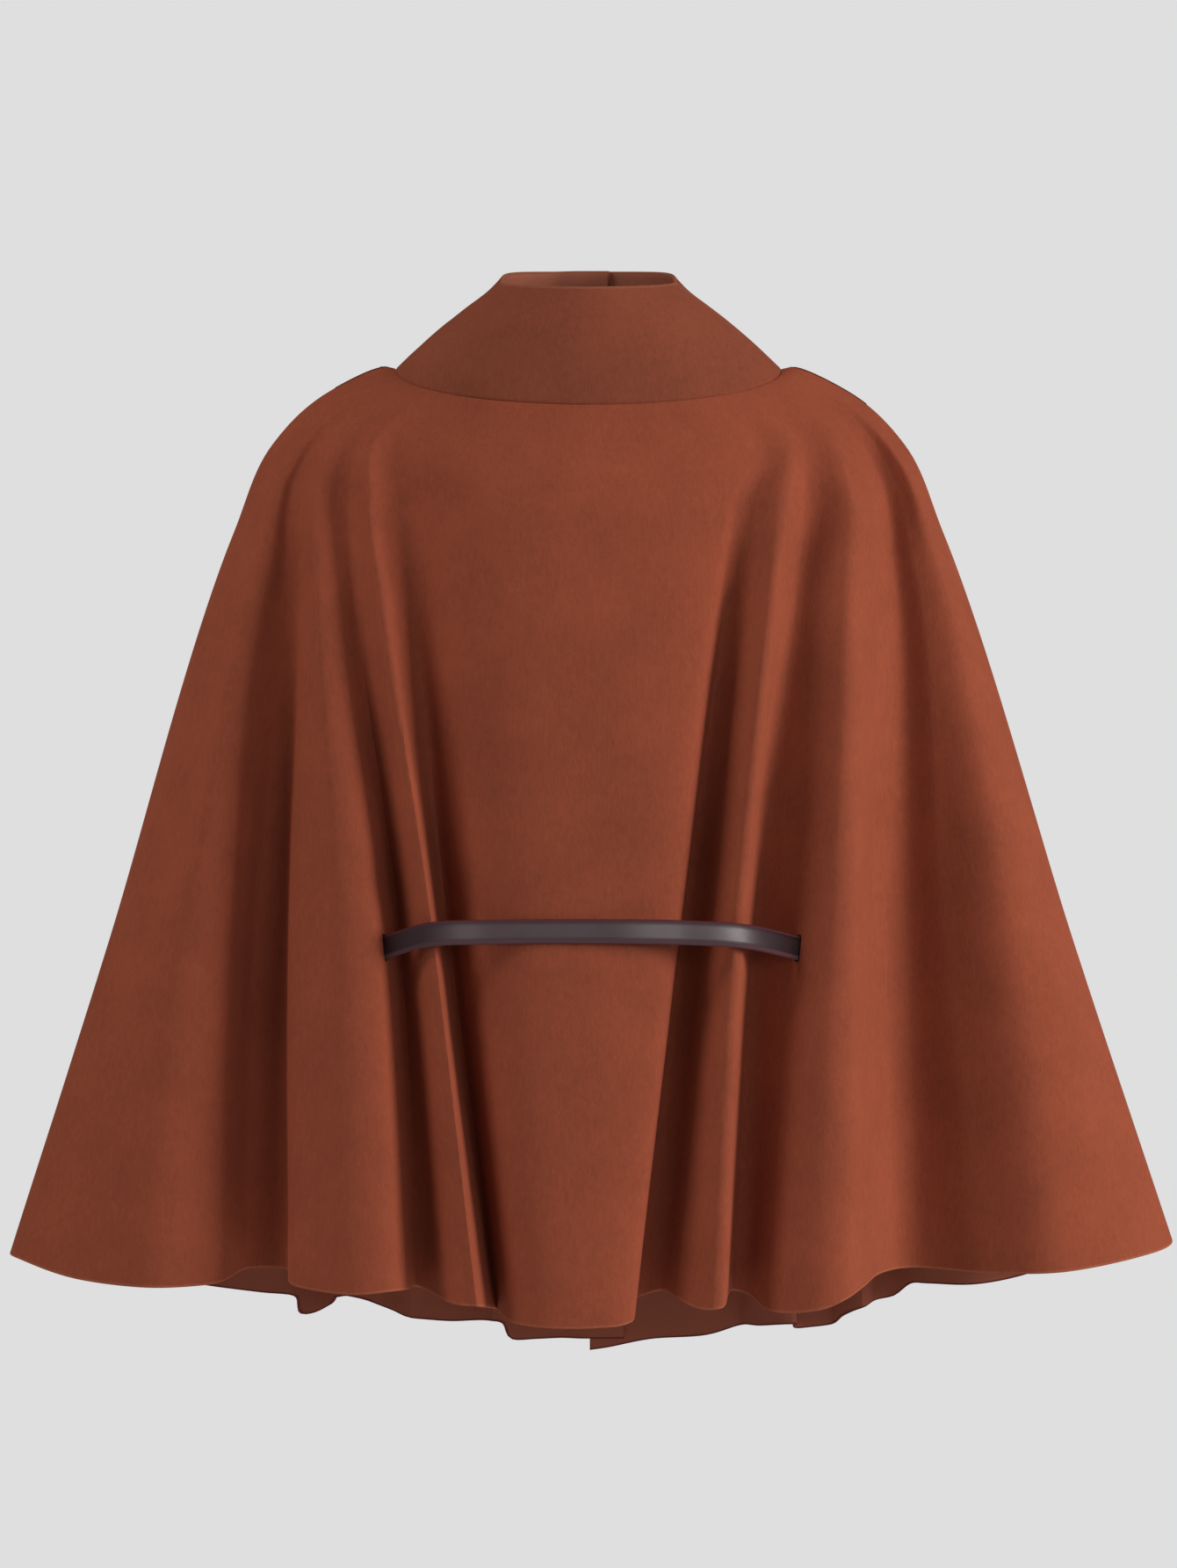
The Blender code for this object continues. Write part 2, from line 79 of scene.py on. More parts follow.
# Fold lines from the neckline to the hem: where each passes the rings, how far it lies inside the smooth
# form there, how low its hem is, and how far the lap sinks it
Fold = namedtuple(
    "Fold",
    "name shoulder_x arm_x belt_x hem_x shoulder_in arm_in belt_in hem_in hem_z lap",
    defaults=(0.0,),
)
BACK_FOLDS = (
    Fold("left side", -234, -262, -355, -427, 0, 0, 0, 0, -653),
    Fold("left wing turn", -230, -257, -342, -411, 0, 0, 0, 0, -652),
    Fold("left wing face", -227, -250, -316, -366, 0, -3, -5, -6, -659.5),
    Fold("left wing crest", -223, -240, -289, -312, 0, -7, -9, -10, -662),
    Fold("left wing shoulder", -218, -230, -266, -281, 2, 0, 3, 6, -662),
    Fold("left wing fall", -213, -221, -252, -261, 8, 13, 25, 28, -661),
    Fold("left wing floor", -209, -214, -239, -244, 10, 18, 52, 64, -655),
    Fold("left pleat floor", -205, -208, -221, -219, 10, 19, 55, 66, -654.5),
    Fold("left pleat start", -202, -203, -213, -210, 6, 11, 24, 22, -660.5),
    Fold("left pleat face", -199, -199, -197, -192, 2, 4, 8, 8, -663),
    Fold("left pleat crest", -196, -194.5, -175, -163, -3, -4, -3, -3, -664),
    Fold("left pleat shoulder", -188, -186, -152, -138, 0.5, -0.5, 3, 2, -662),
    Fold("left pleat fall", -179.5, -176, -143, -127, 6.5, 7.5, 20, 24, -663),
    Fold("left ridge floor", -172, -168, -136, -121, 9.5, 13.5, 44, 56, -665),
    Fold("left ridge foot", -166.5, -161.5, -131, -110, 7, 10.5, 32, 50, -669),
    Fold("left ridge start", -162, -156, -124, -99, 3, 6, 16, 22, -671.5),
    Fold("left ridge crest", -158, -151, -116.5, -88, -2, -1.5, 4, 6, -672),
    Fold("left ridge edge", -153.5, -146.5, -110.5, -78, 0.5, -0.5, 1.5, 0.5, -671.5),
    Fold("left ridge fall", -145, -138, -106, -70, 9, 12, 30, 30, -676),
    Fold("left ridge valley", -132, -125, -101, -65, 17, 23, 48, 60, -681),
    Fold("middle panel foot", -109, -107, -92, -60, 10, 13, 33, 38, -684),
    Fold("middle panel start", -86, -84, -77, -51, 2, 3, 12, 13, -685.5),
    Fold("middle panel left", -58, -56, -48, -33, -2, -2, -1, 1, -686.5),
    Fold("middle panel", -4, -2, -4, -10, -3, -3, -2, -2, -687),
    Fold("middle panel right", 58, 50, 32, 8, -1, 0, 1, 0, -686.5),
    Fold("middle panel turn", 86, 79, 52, 22, 2, 4, 6, 5, -686),
    Fold("middle panel edge", 98, 91, 63, 31, 5, 9, 14, 13, -684),
    Fold("right ridge floor", 107, 100, 68, 35, 10, 21, 56, 60, -673),
    Fold("right ridge foot", 116, 109, 78, 51, 10.5, 17, 47, 56, -667),
    Fold("right ridge start", 124, 116, 87, 63, 6.5, 10, 28, 32, -670),
    Fold("right ridge face", 131, 123, 95, 75, 2, 4, 12, 14, -674.5),
    Fold("right ridge crest", 138, 130, 103, 86, -1, -1, 2, 3, -674.5),
    Fold("right ridge edge", 143, 134.5, 109, 94, 0, 0, 4, 4, -673.5),
    Fold("right ridge fall", 149, 141, 115, 99, 8, 12, 30, 36, -669),
    Fold("right pleat valley", 157, 151, 120, 104, 15, 18, 46, 60, -668),
    Fold("right pleat foot", 166, 160, 128, 113, 13, 14, 42, 55, -670),
    Fold("right pleat start", 174, 168, 144, 124, 8, 9, 28, 29, -677),
    Fold("right pleat face", 182, 178, 158, 136, 2, 3, 13, 11, -678),
    Fold("right pleat crest", 189, 187, 176, 164, -1, -1, 1, -1, -674.5),
    Fold("right pleat shoulder", 195, 195, 188, 181, 3, 4, 4, 2, -668),
    Fold("right pleat fall", 201, 203, 198, 195, 11, 16, 25, 23, -662),
    Fold("right wing valley", 207, 211, 209, 209, 18, 28, 54, 56, -657),
    Fold("right wing floor", 213.5, 223, 231, 234, 24, 33, 63, 80, -656),
    Fold("right wing foot", 221.5, 238, 260, 288, 15, 17, 41, 44, -657.5),
    Fold("right wing face", 228, 251, 306, 338, 0, 1, 6, 10, -655),
    Fold("right wing turn", 231.5, 257.5, 345, 414, 0, 0, 0, 0, -646),
    Fold("right side", 234, 262, 359, 431, 0, 0, 0, 0, -643),
)
RIGHT_FRONT_FOLDS = (
    Fold("right side", 234, 262, 359, 431, 0, 0, 0, 0, -643),
    Fold("right wing turn", 228, 253, 345, 414, 0, 0, 0, 0, -651),
    Fold("right wing face", 215, 240, 318, 374, 0, 0, 1, 0, -668),
    Fold("right wing fall", 206, 230, 290, 330, 5, 9, 8, 10, -685),
    Fold("right wing valley", 196, 216, 268, 294, 10, 18, 26, 33, -690),
    Fold("right wing step", 190, 208, 254, 262, 7, 14, 20, 28, -691),
    Fold("right second start", 186, 203, 244, 250, 0, 2, 6, 10, -694),
    Fold("right second crest", 180, 196, 232, 238, -1, -2, -2, -2, -705),
    Fold("right second face", 173, 187, 216, 224, 1, 2, 3, 0, -708),
    Fold("right second valley", 166, 178, 204, 210, 10, 21, 32, 38, -710),
    Fold("right pleat start", 160, 172, 194, 198, 7, 12, 16, 20, -719),
    Fold("right pleat crest", 152, 162, 178, 191, -1, -1, -1, -2, -728),
    Fold("right pleat face", 144, 152, 158, 174, 1, 1, 1, -1, -730.5),
    Fold("right pleat edge", 138, 144, 146, 161, 7, 12, 12, 5, -731),
    Fold("right pleat valley", 132, 136, 134, 156, 10, 18, 30, 42, -723),
    Fold("right ridge start", 124, 126, 122, 134, 5, 9, 10, 30, -726),
    Fold("right ridge crest", 114, 114, 110, 118, -1, -1, -1, -1, -730),
    Fold("right soft valley", 84, 80, 76, 92, 2, 6, 5, 8, -736.5),
    Fold("right front panel", 44, 42, 40, 48, 0, 0, 0, 0, -741),
    Fold("right front hem", 18, 18, 18, 15, 0, 0, 0, 0, -747.5),
    Fold("right front edge", 1, 1, 1, 1, 0, 0, 0, 0, -749.5),
)
LEFT_FRONT_FOLDS = (
    Fold("left under edge", 28, 28, 28, 28, 0, 0, 0, 0, -740, 3.8),
    Fold("left underlap", 10, 10, 10, 10, 0, 0, 0, 0, -740, 3.8),
    Fold("left lap turn", -7, -7, -7, -7, 0, 0, 0, 0, -740, 3.8),
    Fold("left lap step", -24, -22, -20, -20, 0, 0, 0, 0, -740),
    Fold("left front panel", -50, -44, -38, -40, 0, 0, 0, -1, -741),
    Fold("left front turn", -62, -56, -52, -60, 1, 1, 2, 1, -741),
    Fold("left front fall", -70, -64, -60, -66, 5, 9, 8, 20, -727),
    Fold("left soft valley", -80, -76, -72, -74, 7, 12, 12, 38, -722),
    Fold("left ridge start", -94, -92, -90, -88, 2, 4, 6, 10, -725),
    Fold("left ridge crest", -108, -107, -108, -106, -1, -1, -1, -2, -727),
    Fold("left ridge fall", -120, -120, -122, -124, 5, 9, 10, 4, -725),
    Fold("left pleat valley", -130, -132, -133, -138, 10, 18, 30, 20, -721),
    Fold("left pleat start", -140, -144, -148, -152, 5, 9, 10, 4, -717),
    Fold("left pleat crest", -150, -157, -168, -168, -1, -1, -1, -3, -712),
    Fold("left pleat fall", -158, -168, -184, -182, 5, 9, 14, 12, -706),
    Fold("left second valley", -166, -178, -200, -192, 10, 20, 33, 34, -702),
    Fold("left second start", -173, -187, -214, -199, 5, 9, 12, 8, -711),
    Fold("left second crest", -180, -196, -228, -213, -1, -2, -2, -3, -718.5),
    Fold("left second edge", -186, -204, -242, -224, 5, 6, 8, 6, -718.5),
    Fold("left wing step", -190, -209, -252, -227.5, 8, 14, 20, 34, -701),
    Fold("left wing valley", -196, -216, -266, -252, 10, 18, 27, 32, -697.5),
    Fold("left wing fall", -206, -229, -288, -306, 5, 9, 8, 10, -691),
    Fold("left wing face", -214, -240, -314, -360, 0, 0, 1, 0, -678),
    Fold("left wing turn", -228, -253, -342, -411, 0, 0, 0, 0, -658),
    Fold("left side", -234, -262, -355, -427, 0, 0, 0, 0, -653),
)

# Collar rings, from its seam up, and the mesh rows up to the next ring
CollarRing = namedtuple(
    "CollarRing", "name up half_width back_depth front_depth side_z back_z front_z flat rows"
)
COLLAR_RINGS = (
    CollarRing("seam", 0.0, 143, 88, 92, 0, -34, -62, 1.0, 12),
    CollarRing("low", 0.33, 118, 84.5, 92, 23.5, -4, -14, 1.0, 12),
    CollarRing("high", 0.67, 92, 76, 87, 44.5, 26, 34, 0.8, 12),
    CollarRing("rim", 1.0, 64, 62, 72, 65, 54, 81.5, 0.5, 0),
)
# The collar's mesh columns and how much more painted light its inside gets. Its right end lies on top up
# to one x, and its left end, which sinks between two angles from the nape, ends under it at another
COLLAR_COLUMNS = 260
COLLAR_INSIDE_PAINTED_LIGHT = 1.35
COLLAR_TOP_X = 1.0
COLLAR_LAP_X = 17.0
COLLAR_SINK = 3.5
COLLAR_SINK_DEGREES = (155, 173)
# The collar's lowest rows, which close its seam from inside the neckline: how far out and how far down.
# They are whole at the shoulders only, past an x, and a small share of that at the nape and the throat
COLLAR_FLANGE = ((0.6, 2.6), (0.45, 1.5), (0.2, 0.6))
FLANGE_LEAST = 0.12
FLANGE_FROM_X = 100.0
FLANGE_EASE = 25.0

# Side seams, at the start and the end of a panel's rows: how far the panels cross, and the groove of the
# stitching with its band of cloth
START = 0
END = -1
SEAM_OVERLAP = 0.1
SEAM_GROOVE = 0.5
SEAM_BAND = 1.5

# Neck seam: where mesh rows are added in the first cell, and how far in and down the cloth rolls near it
SEAM_ROWS = (0.12, 0.3, 0.6)
SEAM_IN = 1.0
SEAM_DOWN = 0.5
SEAM_REACH = 2.6

# What counts as sewn into a seam: how near a point lies to it, and how far out the points of a side seam are
PANEL_SEAM_NEAR = 1.0
COLLAR_SEAM_NEAR = 0.5
SIDE_SEAM_LEAST_X = 130.0

# The faces of a wall while it is made, told apart by their material slots
OUTER, RIM, INNER = range(3)

# Hem and collar rim: the band of the folded edge, the zones where it shows, how level a rim's face is there,
# how strongly the band beside it is marked, and how many bands high and square bands large its faces are
HEM_BAND = 1.6
HEM_ZONE_TOP = -630.0
COLLAR_RIM_ZONE_BOTTOM = 40.0
RIM_FACING = 0.3
BAND_MARK = 0.8
MOST_BANDS_HIGH = 2
MOST_SQUARE_BANDS = 8

# The cloth behind the strap: its gap to the leather, the height over which it comes away from it, and how
# fast it is let out past the strap's ends
PRESS_GAP = 0.6
PRESS_EASE = 9.0
PRESS_POWER = 1.5
PRESS_END_SLOPE = 1.5

# Waves of the cloth between its folds: size, shift of the seed and share of the sway. They run longer down
# the cloth than across it, and die out over a few columns at the sides and over a height at the neckline
WAVES = ((130.0, 0, 1.0), (42.0, 7, 0.3))
WAVE_STRETCH = 0.55
CALM_COLUMNS = 8.0
CALM_HEIGHT = 40.0

# A crease is whole near its middle and dies out a fifth of its length past its ends
CREASE_FULL = 1.15
CREASE_FADE = 1.6

# Finishing: how near points are merged, in metres, and the angles past which an edge shows or is rounded
MERGE = 0.00001
SMOOTH_DEGREES = 50
ROUNDED_DEGREES = 40

# The strap's inner face, from its buckled end round the wearer's left, the back and the right to its tip
Turn = namedtuple("Turn", "name x y z slit on", defaults=("", ""))
BUCKLED_Y = 144.2
BUCKLED_Z = -438.0
TAIL_Y = BUCKLED_Y + 3.2
KEEPER_X = -24.0
BELT_ROUTE = (
    Turn("buckled end", -5.4, BUCKLED_Y, BUCKLED_Z),
    Turn("under the keeper", KEEPER_X, BUCKLED_Y, BUCKLED_Z, on="front"),
    Turn("left front", -62, 143.0, -438, on="front"),
    Turn("left front ridge", -107, 139.6, -437.5, on="front"),
    Turn("left front slit", -150, 114.5, -436, "front_left"),
    Turn("left wing front", -168, 91, -435),
    Turn("left side front", -176, 45, -434),
    Turn("left side", -178, 0, -432),
    Turn("left side back", -175, -50, -430),
    Turn("left wing back", -165, -98, -428),
    Turn("left back slit", -148, -115, -424.5, "back"),
    Turn("left back ridge", -113, -137.9, -413.5, on="back"),
    Turn("back left", -70, -139.6, -411.5, on="back"),
    Turn("back middle", 0, -141.8, -410.9, on="back"),
    Turn("back right middle", 30, -142.9, -411.0, on="back"),
    Turn("back right", 63, -141.0, -411.7, on="back"),
    Turn("right back ridge", 110, -137.2, -414.6, on="back"),
    Turn("right back slit", 156, -102, -426, "back"),
    Turn("right wing back", 171, -78, -428.5),
    Turn("right side back", 178, -40, -430.5),
    Turn("right side", 180, 5, -432.5),
    Turn("right side front", 177, 50, -434),
    Turn("right wing front", 168, 91, -435),
    Turn("right front slit", 150, 114.5, -436, "front_right"),
    Turn("right front ridge", 111, 139.8, -437.5, on="front"),
    Turn("right front", 66, 143.0, -438, on="front"),
    Turn("under the end bar", 25, BUCKLED_Y - 0.4, BUCKLED_Z, on="front"),
    Turn("rising over the heel bar", 8, BUCKLED_Y + 1.6, BUCKLED_Z),
    Turn("over the heel bar", -4, BUCKLED_Y + 4.2, BUCKLED_Z),
    Turn("in the keeper", KEEPER_X, TAIL_Y, BUCKLED_Z),
    Turn("tail", -60, 146.2, -438),
    Turn("tail tip", -92, 144.5, -438),
)
# How far apart the strap's points lie, how far a slit's cutter reaches each way along the strap, the slit's
# gap round the strap, and the painted shade on the strap's way into the slits: where it starts and ends, in
# metres from the middle, how fully it darkens the leather and to which share of its edge's colour
STRAP_STEP = 4.0
SLIT_REACH = 17.0
SLIT_GAP = 1.3
SLIT_PAINTED_SHADE_FROM = 0.108
SLIT_PAINTED_SHADE_TO = 0.145
SLIT_PAINTED_SHADE_STRENGTH = 0.8
SLIT_PAINTED_SHADE_TINT = 0.1

# The strap's section: how far out of its inner face each point lies, as a share of its wall, and how high,
# as a share of its half width, going round from the middle of the inner face over the lower edge
StrapPoint = namedtuple("StrapPoint", "name out high painted")
STRAP_SECTION = (
    StrapPoint("back", 0.0, 0.0, 0),
    StrapPoint("back low", 0.0, -0.55, 0),
    StrapPoint("back edge", 0.0, -0.93, 0),
    StrapPoint("lower edge turn", 0.08, -0.985, 1),
    StrapPoint("lower edge", 0.28, -1.0, 1),
    StrapPoint("lower edge face", 0.55, -0.975, 1),
    StrapPoint("lower edge lip", 0.76, -0.86, 1),
    StrapPoint("lower crease", 0.83, -0.70, 1),
    StrapPoint("lower ridge", 0.965, -0.64, 0),
    StrapPoint("face low", 0.98, -0.4, 0),
    StrapPoint("face", 1.0, 0.0, 0),
    StrapPoint("face high", 0.98, 0.45, 0),
    StrapPoint("upper ridge", 0.955, 0.78, 0),
    StrapPoint("upper crease", 0.84, 0.83, 1),
    StrapPoint("upper edge lip", 0.77, 0.91, 1),
    StrapPoint("upper edge face", 0.55, 0.98, 1),
    StrapPoint("upper edge", 0.28, 1.0, 1),
    StrapPoint("upper edge turn", 0.08, 0.985, 1),
    StrapPoint("back edge above", 0.0, 0.93, 0),
    StrapPoint("back high", 0.0, 0.55, 0),
)

# The buckle's prong, from the heel bar through the strap's hole to the end bar
PRONG_ROUTE = (
    Turn("on the heel bar", -3.2, BUCKLED_Y + 1.3, BUCKLED_Z),
    Turn("under the tail", 2.5, BUCKLED_Y + 0.6, BUCKLED_Z),
    Turn("through the hole", 8, BUCKLED_Y + 3.8, BUCKLED_Z),
    Turn("over the tail", 14, BUCKLED_Y + 6.6, BUCKLED_Z),
    Turn("on the end bar", 25.5, BUCKLED_Y + 8.0, BUCKLED_Z),
)
ROD_STEP = 3.0

# The eye that holds the prong on the heel bar: how far its ring lies outside the bar and how thick its wire
# is, as shares of the prong's radius, and how it is stretched
EYE_RING = 0.7
EYE_WIRE = 0.9
EYE_STRETCH = (1.0, 0.85, 1.15)

# The buckle's middle, the keeper's gap round the strap, and their roundings as shares of their thickness
BUCKLE_MIDDLE = (10.4, BUCKLED_Y + 3.8, BUCKLED_Z)
BUCKLE_ROUNDING = 0.36
KEEPER_GAP = 0.4
KEEPER_ROUNDING = 0.35

# The holes that show on the tail, which is the route's last points, and the gap of the prong's own hole. A
# punch is as deep as a few walls
TAIL_HOLES = (27, -11, -46, -64)
TAIL_HOLE_RADIUS = 1.1
TAIL_POINTS = 60
HOLE_GAP = 0.4
PUNCH_WALLS = 2.4

# How squarely a face looks along an axis where a frame is opened, and on the keeper's painted edges
OPENING_FACING = 0.9
PAINTED_FACING = 0.6

# Soft troughs and ridges that the cloth holds beside its folds: from one end to the other, how wide, and how
# deep, where a ridge has a depth below zero
Crease = namedtuple("Crease", "name x0 z0 x1 z1 width depth")
BACK_CREASES = (
    Crease("left shoulder drag", -205, -62, -132, -150, 16, 1.6),
    Crease("left shoulder lift", -178, -50, -108, -138, 15, -1.2),
    Crease("right shoulder drag", 206, -66, 128, -170, 17, 1.8),
    Crease("right shoulder lift", 180, -52, 100, -128, 15, -1.2),
    Crease("nape hollow", -60, -66, 54, -72, 20, 1.2),
    Crease("middle hollow", -22, -190, -40, -330, 30, 1.5),
    Crease("middle lift", 30, -230, 44, -372, 26, -1.2),
    Crease("middle low hollow", -14, -455, -30, -590, 22, 1.3),
    Crease("left wing hollow", -262, -250, -318, -430, 22, 1.6),
    Crease("left wing lift", -300, -360, -352, -560, 24, -1.8),
    Crease("left pleat dent", -196, -330, -186, -470, 12, 1.2),
    Crease("right pleat dent", 184, -390, 178, -560, 14, 1.2),
    Crease("right wing hollow", 268, -270, 316, -470, 24, 1.6),
    Crease("right wing lift", 312, -400, 372, -600, 26, -1.8),
    Crease("left belt drag", -140, -392, -176, -350, 11, 1.4),
    Crease("right belt drag", 160, -396, 190, -350, 12, 1.4),
    Crease("under the belt left", -64, -428, -26, -468, 12, 0.9),
    Crease("under the belt right", 52, -428, 24, -480, 12, 0.9),
)
FRONT_CREASES = (
    Crease("right shoulder drag", 204, -70, 120, -190, 17, 1.8),
    Crease("left shoulder drag", -204, -68, -122, -176, 17, 1.7),
    Crease("right chest hollow", 66, -180, 52, -330, 24, 1.4),
    Crease("left chest hollow", -58, -200, -40, -350, 22, 1.2),
    Crease("right wing hollow", 262, -280, 308, -470, 24, 1.7),
    Crease("right wing lift", 300, -400, 366, -600, 26, -1.8),
    Crease("left wing hollow", -258, -270, -312, -440, 24, 1.7),
    Crease("left wing lift", -298, -390, -350, -590, 26, -1.7),
    Crease("right belt drag", 146, -404, 184, -350, 12, 1.5),
    Crease("left belt drag", -146, -404, -182, -356, 12, 1.5),
    Crease("under the buckle", 20, -462, 34, -540, 16, 1.0),
    Crease("left hem lift", -60, -600, -64, -720, 14, -1.0),
)

# Noise in the materials: how many features a metre holds, its detail and its roughness, and in the wool how
# much it adds to the tone and to the relief
Grain = namedtuple("Grain", "scale detail roughness tone relief", defaults=(0.0, 0.0))
FIBRE = Grain(1100.0, 3.0, 0.65, tone=0.35, relief=0.6)
TUFT = Grain(380.0, 2.0, 0.6, tone=0.3, relief=0.5)
SPECK = Grain(150.0, 3.0, 0.6, tone=0.2, relief=0.25)
CLOUD = Grain(20.0, 3.0, 0.55, tone=0.35)
LEATHER_GRAIN = Grain(1500.0, 3.0, 0.6)
LEATHER_WEAR = Grain(70.0, 3.0, 0.6)
METAL_RUB = Grain(240.0, 3.0, 0.6)
METAL_BRUSH = Grain(2600.0, 2.0, 0.5)
NAP_STRETCH = (1.0, 1.0, 0.35)
BRUSH_STRETCH = (0.12, 1.0, 1.0)

# The wool: the value its tone varies round, how strongly, and how much warmer its light places are; how its
# raw edges, paler for their cut fibres and for a painted highlight, show through their tufts; how fully the
# painted light on its inside and the painted shade on the fronts' cut edges cover the plain cloth; and the
# tints of its raw edges with their painted highlight, of the painted light on its inside and of its sheen
TONE_MIDDLE = 0.42
TONE_SPREAD = 2.7
MOTTLE_WARMTH = 0.02
RAW_EDGE_TUFTS = 0.7
RAW_EDGE_LEAST = 0.25
INSIDE_PAINTED_LIGHT_COVER = 0.8
PAINTED_EDGE_SHADE_COVER = 0.85
RAW_EDGE_FIBRE_AND_HIGHLIGHT_TINT = (1.3, 1.8, 1.9)
INSIDE_PAINTED_LIGHT_TINT = (1.14, 1.5, 1.8)
SHEEN_TINT = 2.6

# Leather and metal: their darkest and lightest tones, the height in metres and the strength of their relief,
# and what wear, paint and rubbing add to their roughness
LEATHER_TONES = (0.8, 1.2)
LEATHER_RELIEF = (0.00008, 0.35)
WEAR_ROUGHNESS = 0.14
PAINT_ROUGHNESS = 0.3
METAL_TONES = (0.75, 1.35)
METAL_RELIEF = (0.00003, 0.4)
METAL_ROUGHNESS = 0.24
RUB_ROUGHNESS = 0.16

# The camera's distance and height, the height of its view and the floor with its fade are in metres, and the
# camera's sensor is in millimetres
CAMERA_DISTANCE = 3.0
CAMERA_Z = -0.307
VIEW_HEIGHT = 1.16025
SENSOR_WIDTH = 36.0
FLOOR_RADIUS = 3.0
FLOOR_FADE = (0.9, 2.3)

# The soft boxes: degrees to the camera's right and above it, watts, and whether they light matt surfaces and
# are mirrored by leather and metal. All are aimed at one point, in metres
AIM = (0.0, 0.0, -0.35)
SoftBox = namedtuple("SoftBox", "name turn rise watts lights shines", defaults=(True, True))
SOFT_BOXES = (
    SoftBox("right", 69, 12, 66, shines=False),
    SoftBox("near right", 24, 10, 9.5, shines=False),
    SoftBox("left high", -65, 45, 30, shines=False),
    SoftBox("left", -70, 12, 7.5, shines=False),
    SoftBox("front", 172, 16, 38),
    SoftBox("leather shine", 32, 0, 40, lights=False),
    SoftBox("leather sheen", 11, 0, 8, lights=False),
    SoftBox("leather sheen left", -22, 0, 1, lights=False),
)


def millimetres(length):
    return length / MM


def tangents(points, knots):
    """Slopes of a smooth curve through points: the mean of two spans' slopes, weighted by the far span."""
    spans = np.diff(knots)
    slopes = np.diff(points, axis=0) / spans.reshape(-1, *[1] * (points.ndim - 1))
    result = np.empty_like(points)
    result[0] = slopes[0]
    result[-1] = slopes[-1]
    for i in range(1, len(points) - 1):
        before = spans[i - 1]
        after = spans[i]
        result[i] = (slopes[i - 1] * after + slopes[i] * before) / (before + after)
    return result


def smooth(points, knots, steps):
    """Points along the smooth curve through points, with steps[i] pieces between point i and the next."""
    points = np.asarray(points, dtype=float)
    slope = tangents(points, knots)
    result = []
    for i, count in enumerate(steps):
        span = knots[i + 1] - knots[i]
        for k in range(count):
            s = k / count
            start = (1 + 2 * s) * (1 - s) ** 2 * points[i] + s * (1 - s) ** 2 * span * slope[i]
            end = s * s * (3 - 2 * s) * points[i + 1] - s * s * (1 - s) * span * slope[i + 1]
            result.append(start + end)
    result.append(points[len(steps)])
    return np.array(result)


def even_knots(points):
    """Knots spaced by the square root of the distance, which keeps a curve from looping in sharp folds."""
    gaps = np.sqrt(np.linalg.norm(np.diff(np.asarray(points, dtype=float), axis=0), axis=1))
    return np.concatenate(([0.0], np.cumsum(gaps)))


def ease(share):
    """A soft step from 0 to 1."""
    share = np.clip(share, 0.0, 1.0)
    return share * share * (3 - 2 * share)


def unit(vectors):
    """Vectors made one long."""
    return vectors / np.linalg.norm(vectors, axis=-1, keepdims=True)


def level_outward(row):
    """Level unit vectors from the jacket's upright middle line to the points of a row."""
    return unit(row * np.array((1.0, 1.0, 0.0)))


def fold_x(ring, fold):
    """Where a fold line passes a ring.

    Above the shoulder it climbs nearly straight towards the neckline, and upright at the centre front.
    """
    if ring.name in ("neck", "knoll", "slope"):
        plain = abs(fold.shoulder_x)
        climbed = (plain / SHOULDER_HALF_WIDTH) ** CLIMB * ring.half_width
        return math.copysign(plain + (climbed - plain) * ease(plain / UPRIGHT_WITHIN), fold.shoulder_x)
    return getattr(fold, ring.name + "_x")


def fold_in(ring, fold):
    """How far a fold line lies inside the smooth form on a ring."""
    if ring.name in ("neck", "knoll"):
        return fold.lap
    if ring.name == "slope":
        return fold.shoulder_in * SLOPE_SHARE + fold.lap
    return getattr(fold, ring.name + "_in") + fold.lap


def fold_point(ring, fold, side):
    """The point of a fold line on a ring; side is -1 on the back and +1 on the front."""
    x = fold_x(ring, fold)
    share = min(abs(x) / ring.half_width, 1.0)
    round_share = (1.0 - share**ring.roundness) ** (1.0 / ring.roundness)
    depth = ring.back_depth if side < 0 else ring.front_depth
    y = side * (depth * round_share - fold_in(ring, fold))
    middle_z = ring.back_z if side < 0 else ring.front_z
    z = ring.side_z + (middle_z - ring.side_z) * round_share
    if ring.name == "hem":
        z = fold.hem_z
    return np.array((x, y, z))


def panel_rows(panel, cell):
    """A panel's outer surface as rows of points, from the neckline to the hem, in columns a cell apart.

    At a side seam the rows go on into a mirrored point, so that front and back meet in one smooth curve.
    """
    hem = [fold_point(RINGS[-1], fold, panel.side) for fold in panel.folds]
    steps = [max(2, round(gap / cell)) for gap in np.linalg.norm(np.diff(hem, axis=0), axis=1)]
    mirror = np.array([1.0, -1.0, 1.0])
    across = []
    for ring in RINGS:
        line = [fold_point(ring, fold, panel.side) for fold in panel.folds]
        used = list(steps)
        if START in panel.seams:
            line.insert(0, line[1] * mirror)
            used.insert(0, 1)
        if END in panel.seams:
            line.append(line[-2] * mirror)
        row = smooth(line, even_knots(line), used)
        across.append(row[1:] if START in panel.seams else row)
    down = [ring.down for ring in RINGS]
    rows = smooth(np.array(across), down, [ring.rows for ring in RINGS[:-1]])
    for end in panel.seams:
        rows[:, end, 1] = -panel.side * SEAM_OVERLAP / 2
    return rows


def outward_normals(rows):
    """Unit normals of a grid of points whose columns run left to right as seen from outside."""
    return unit(np.cross(np.gradient(rows, axis=0), np.gradient(rows, axis=1)))


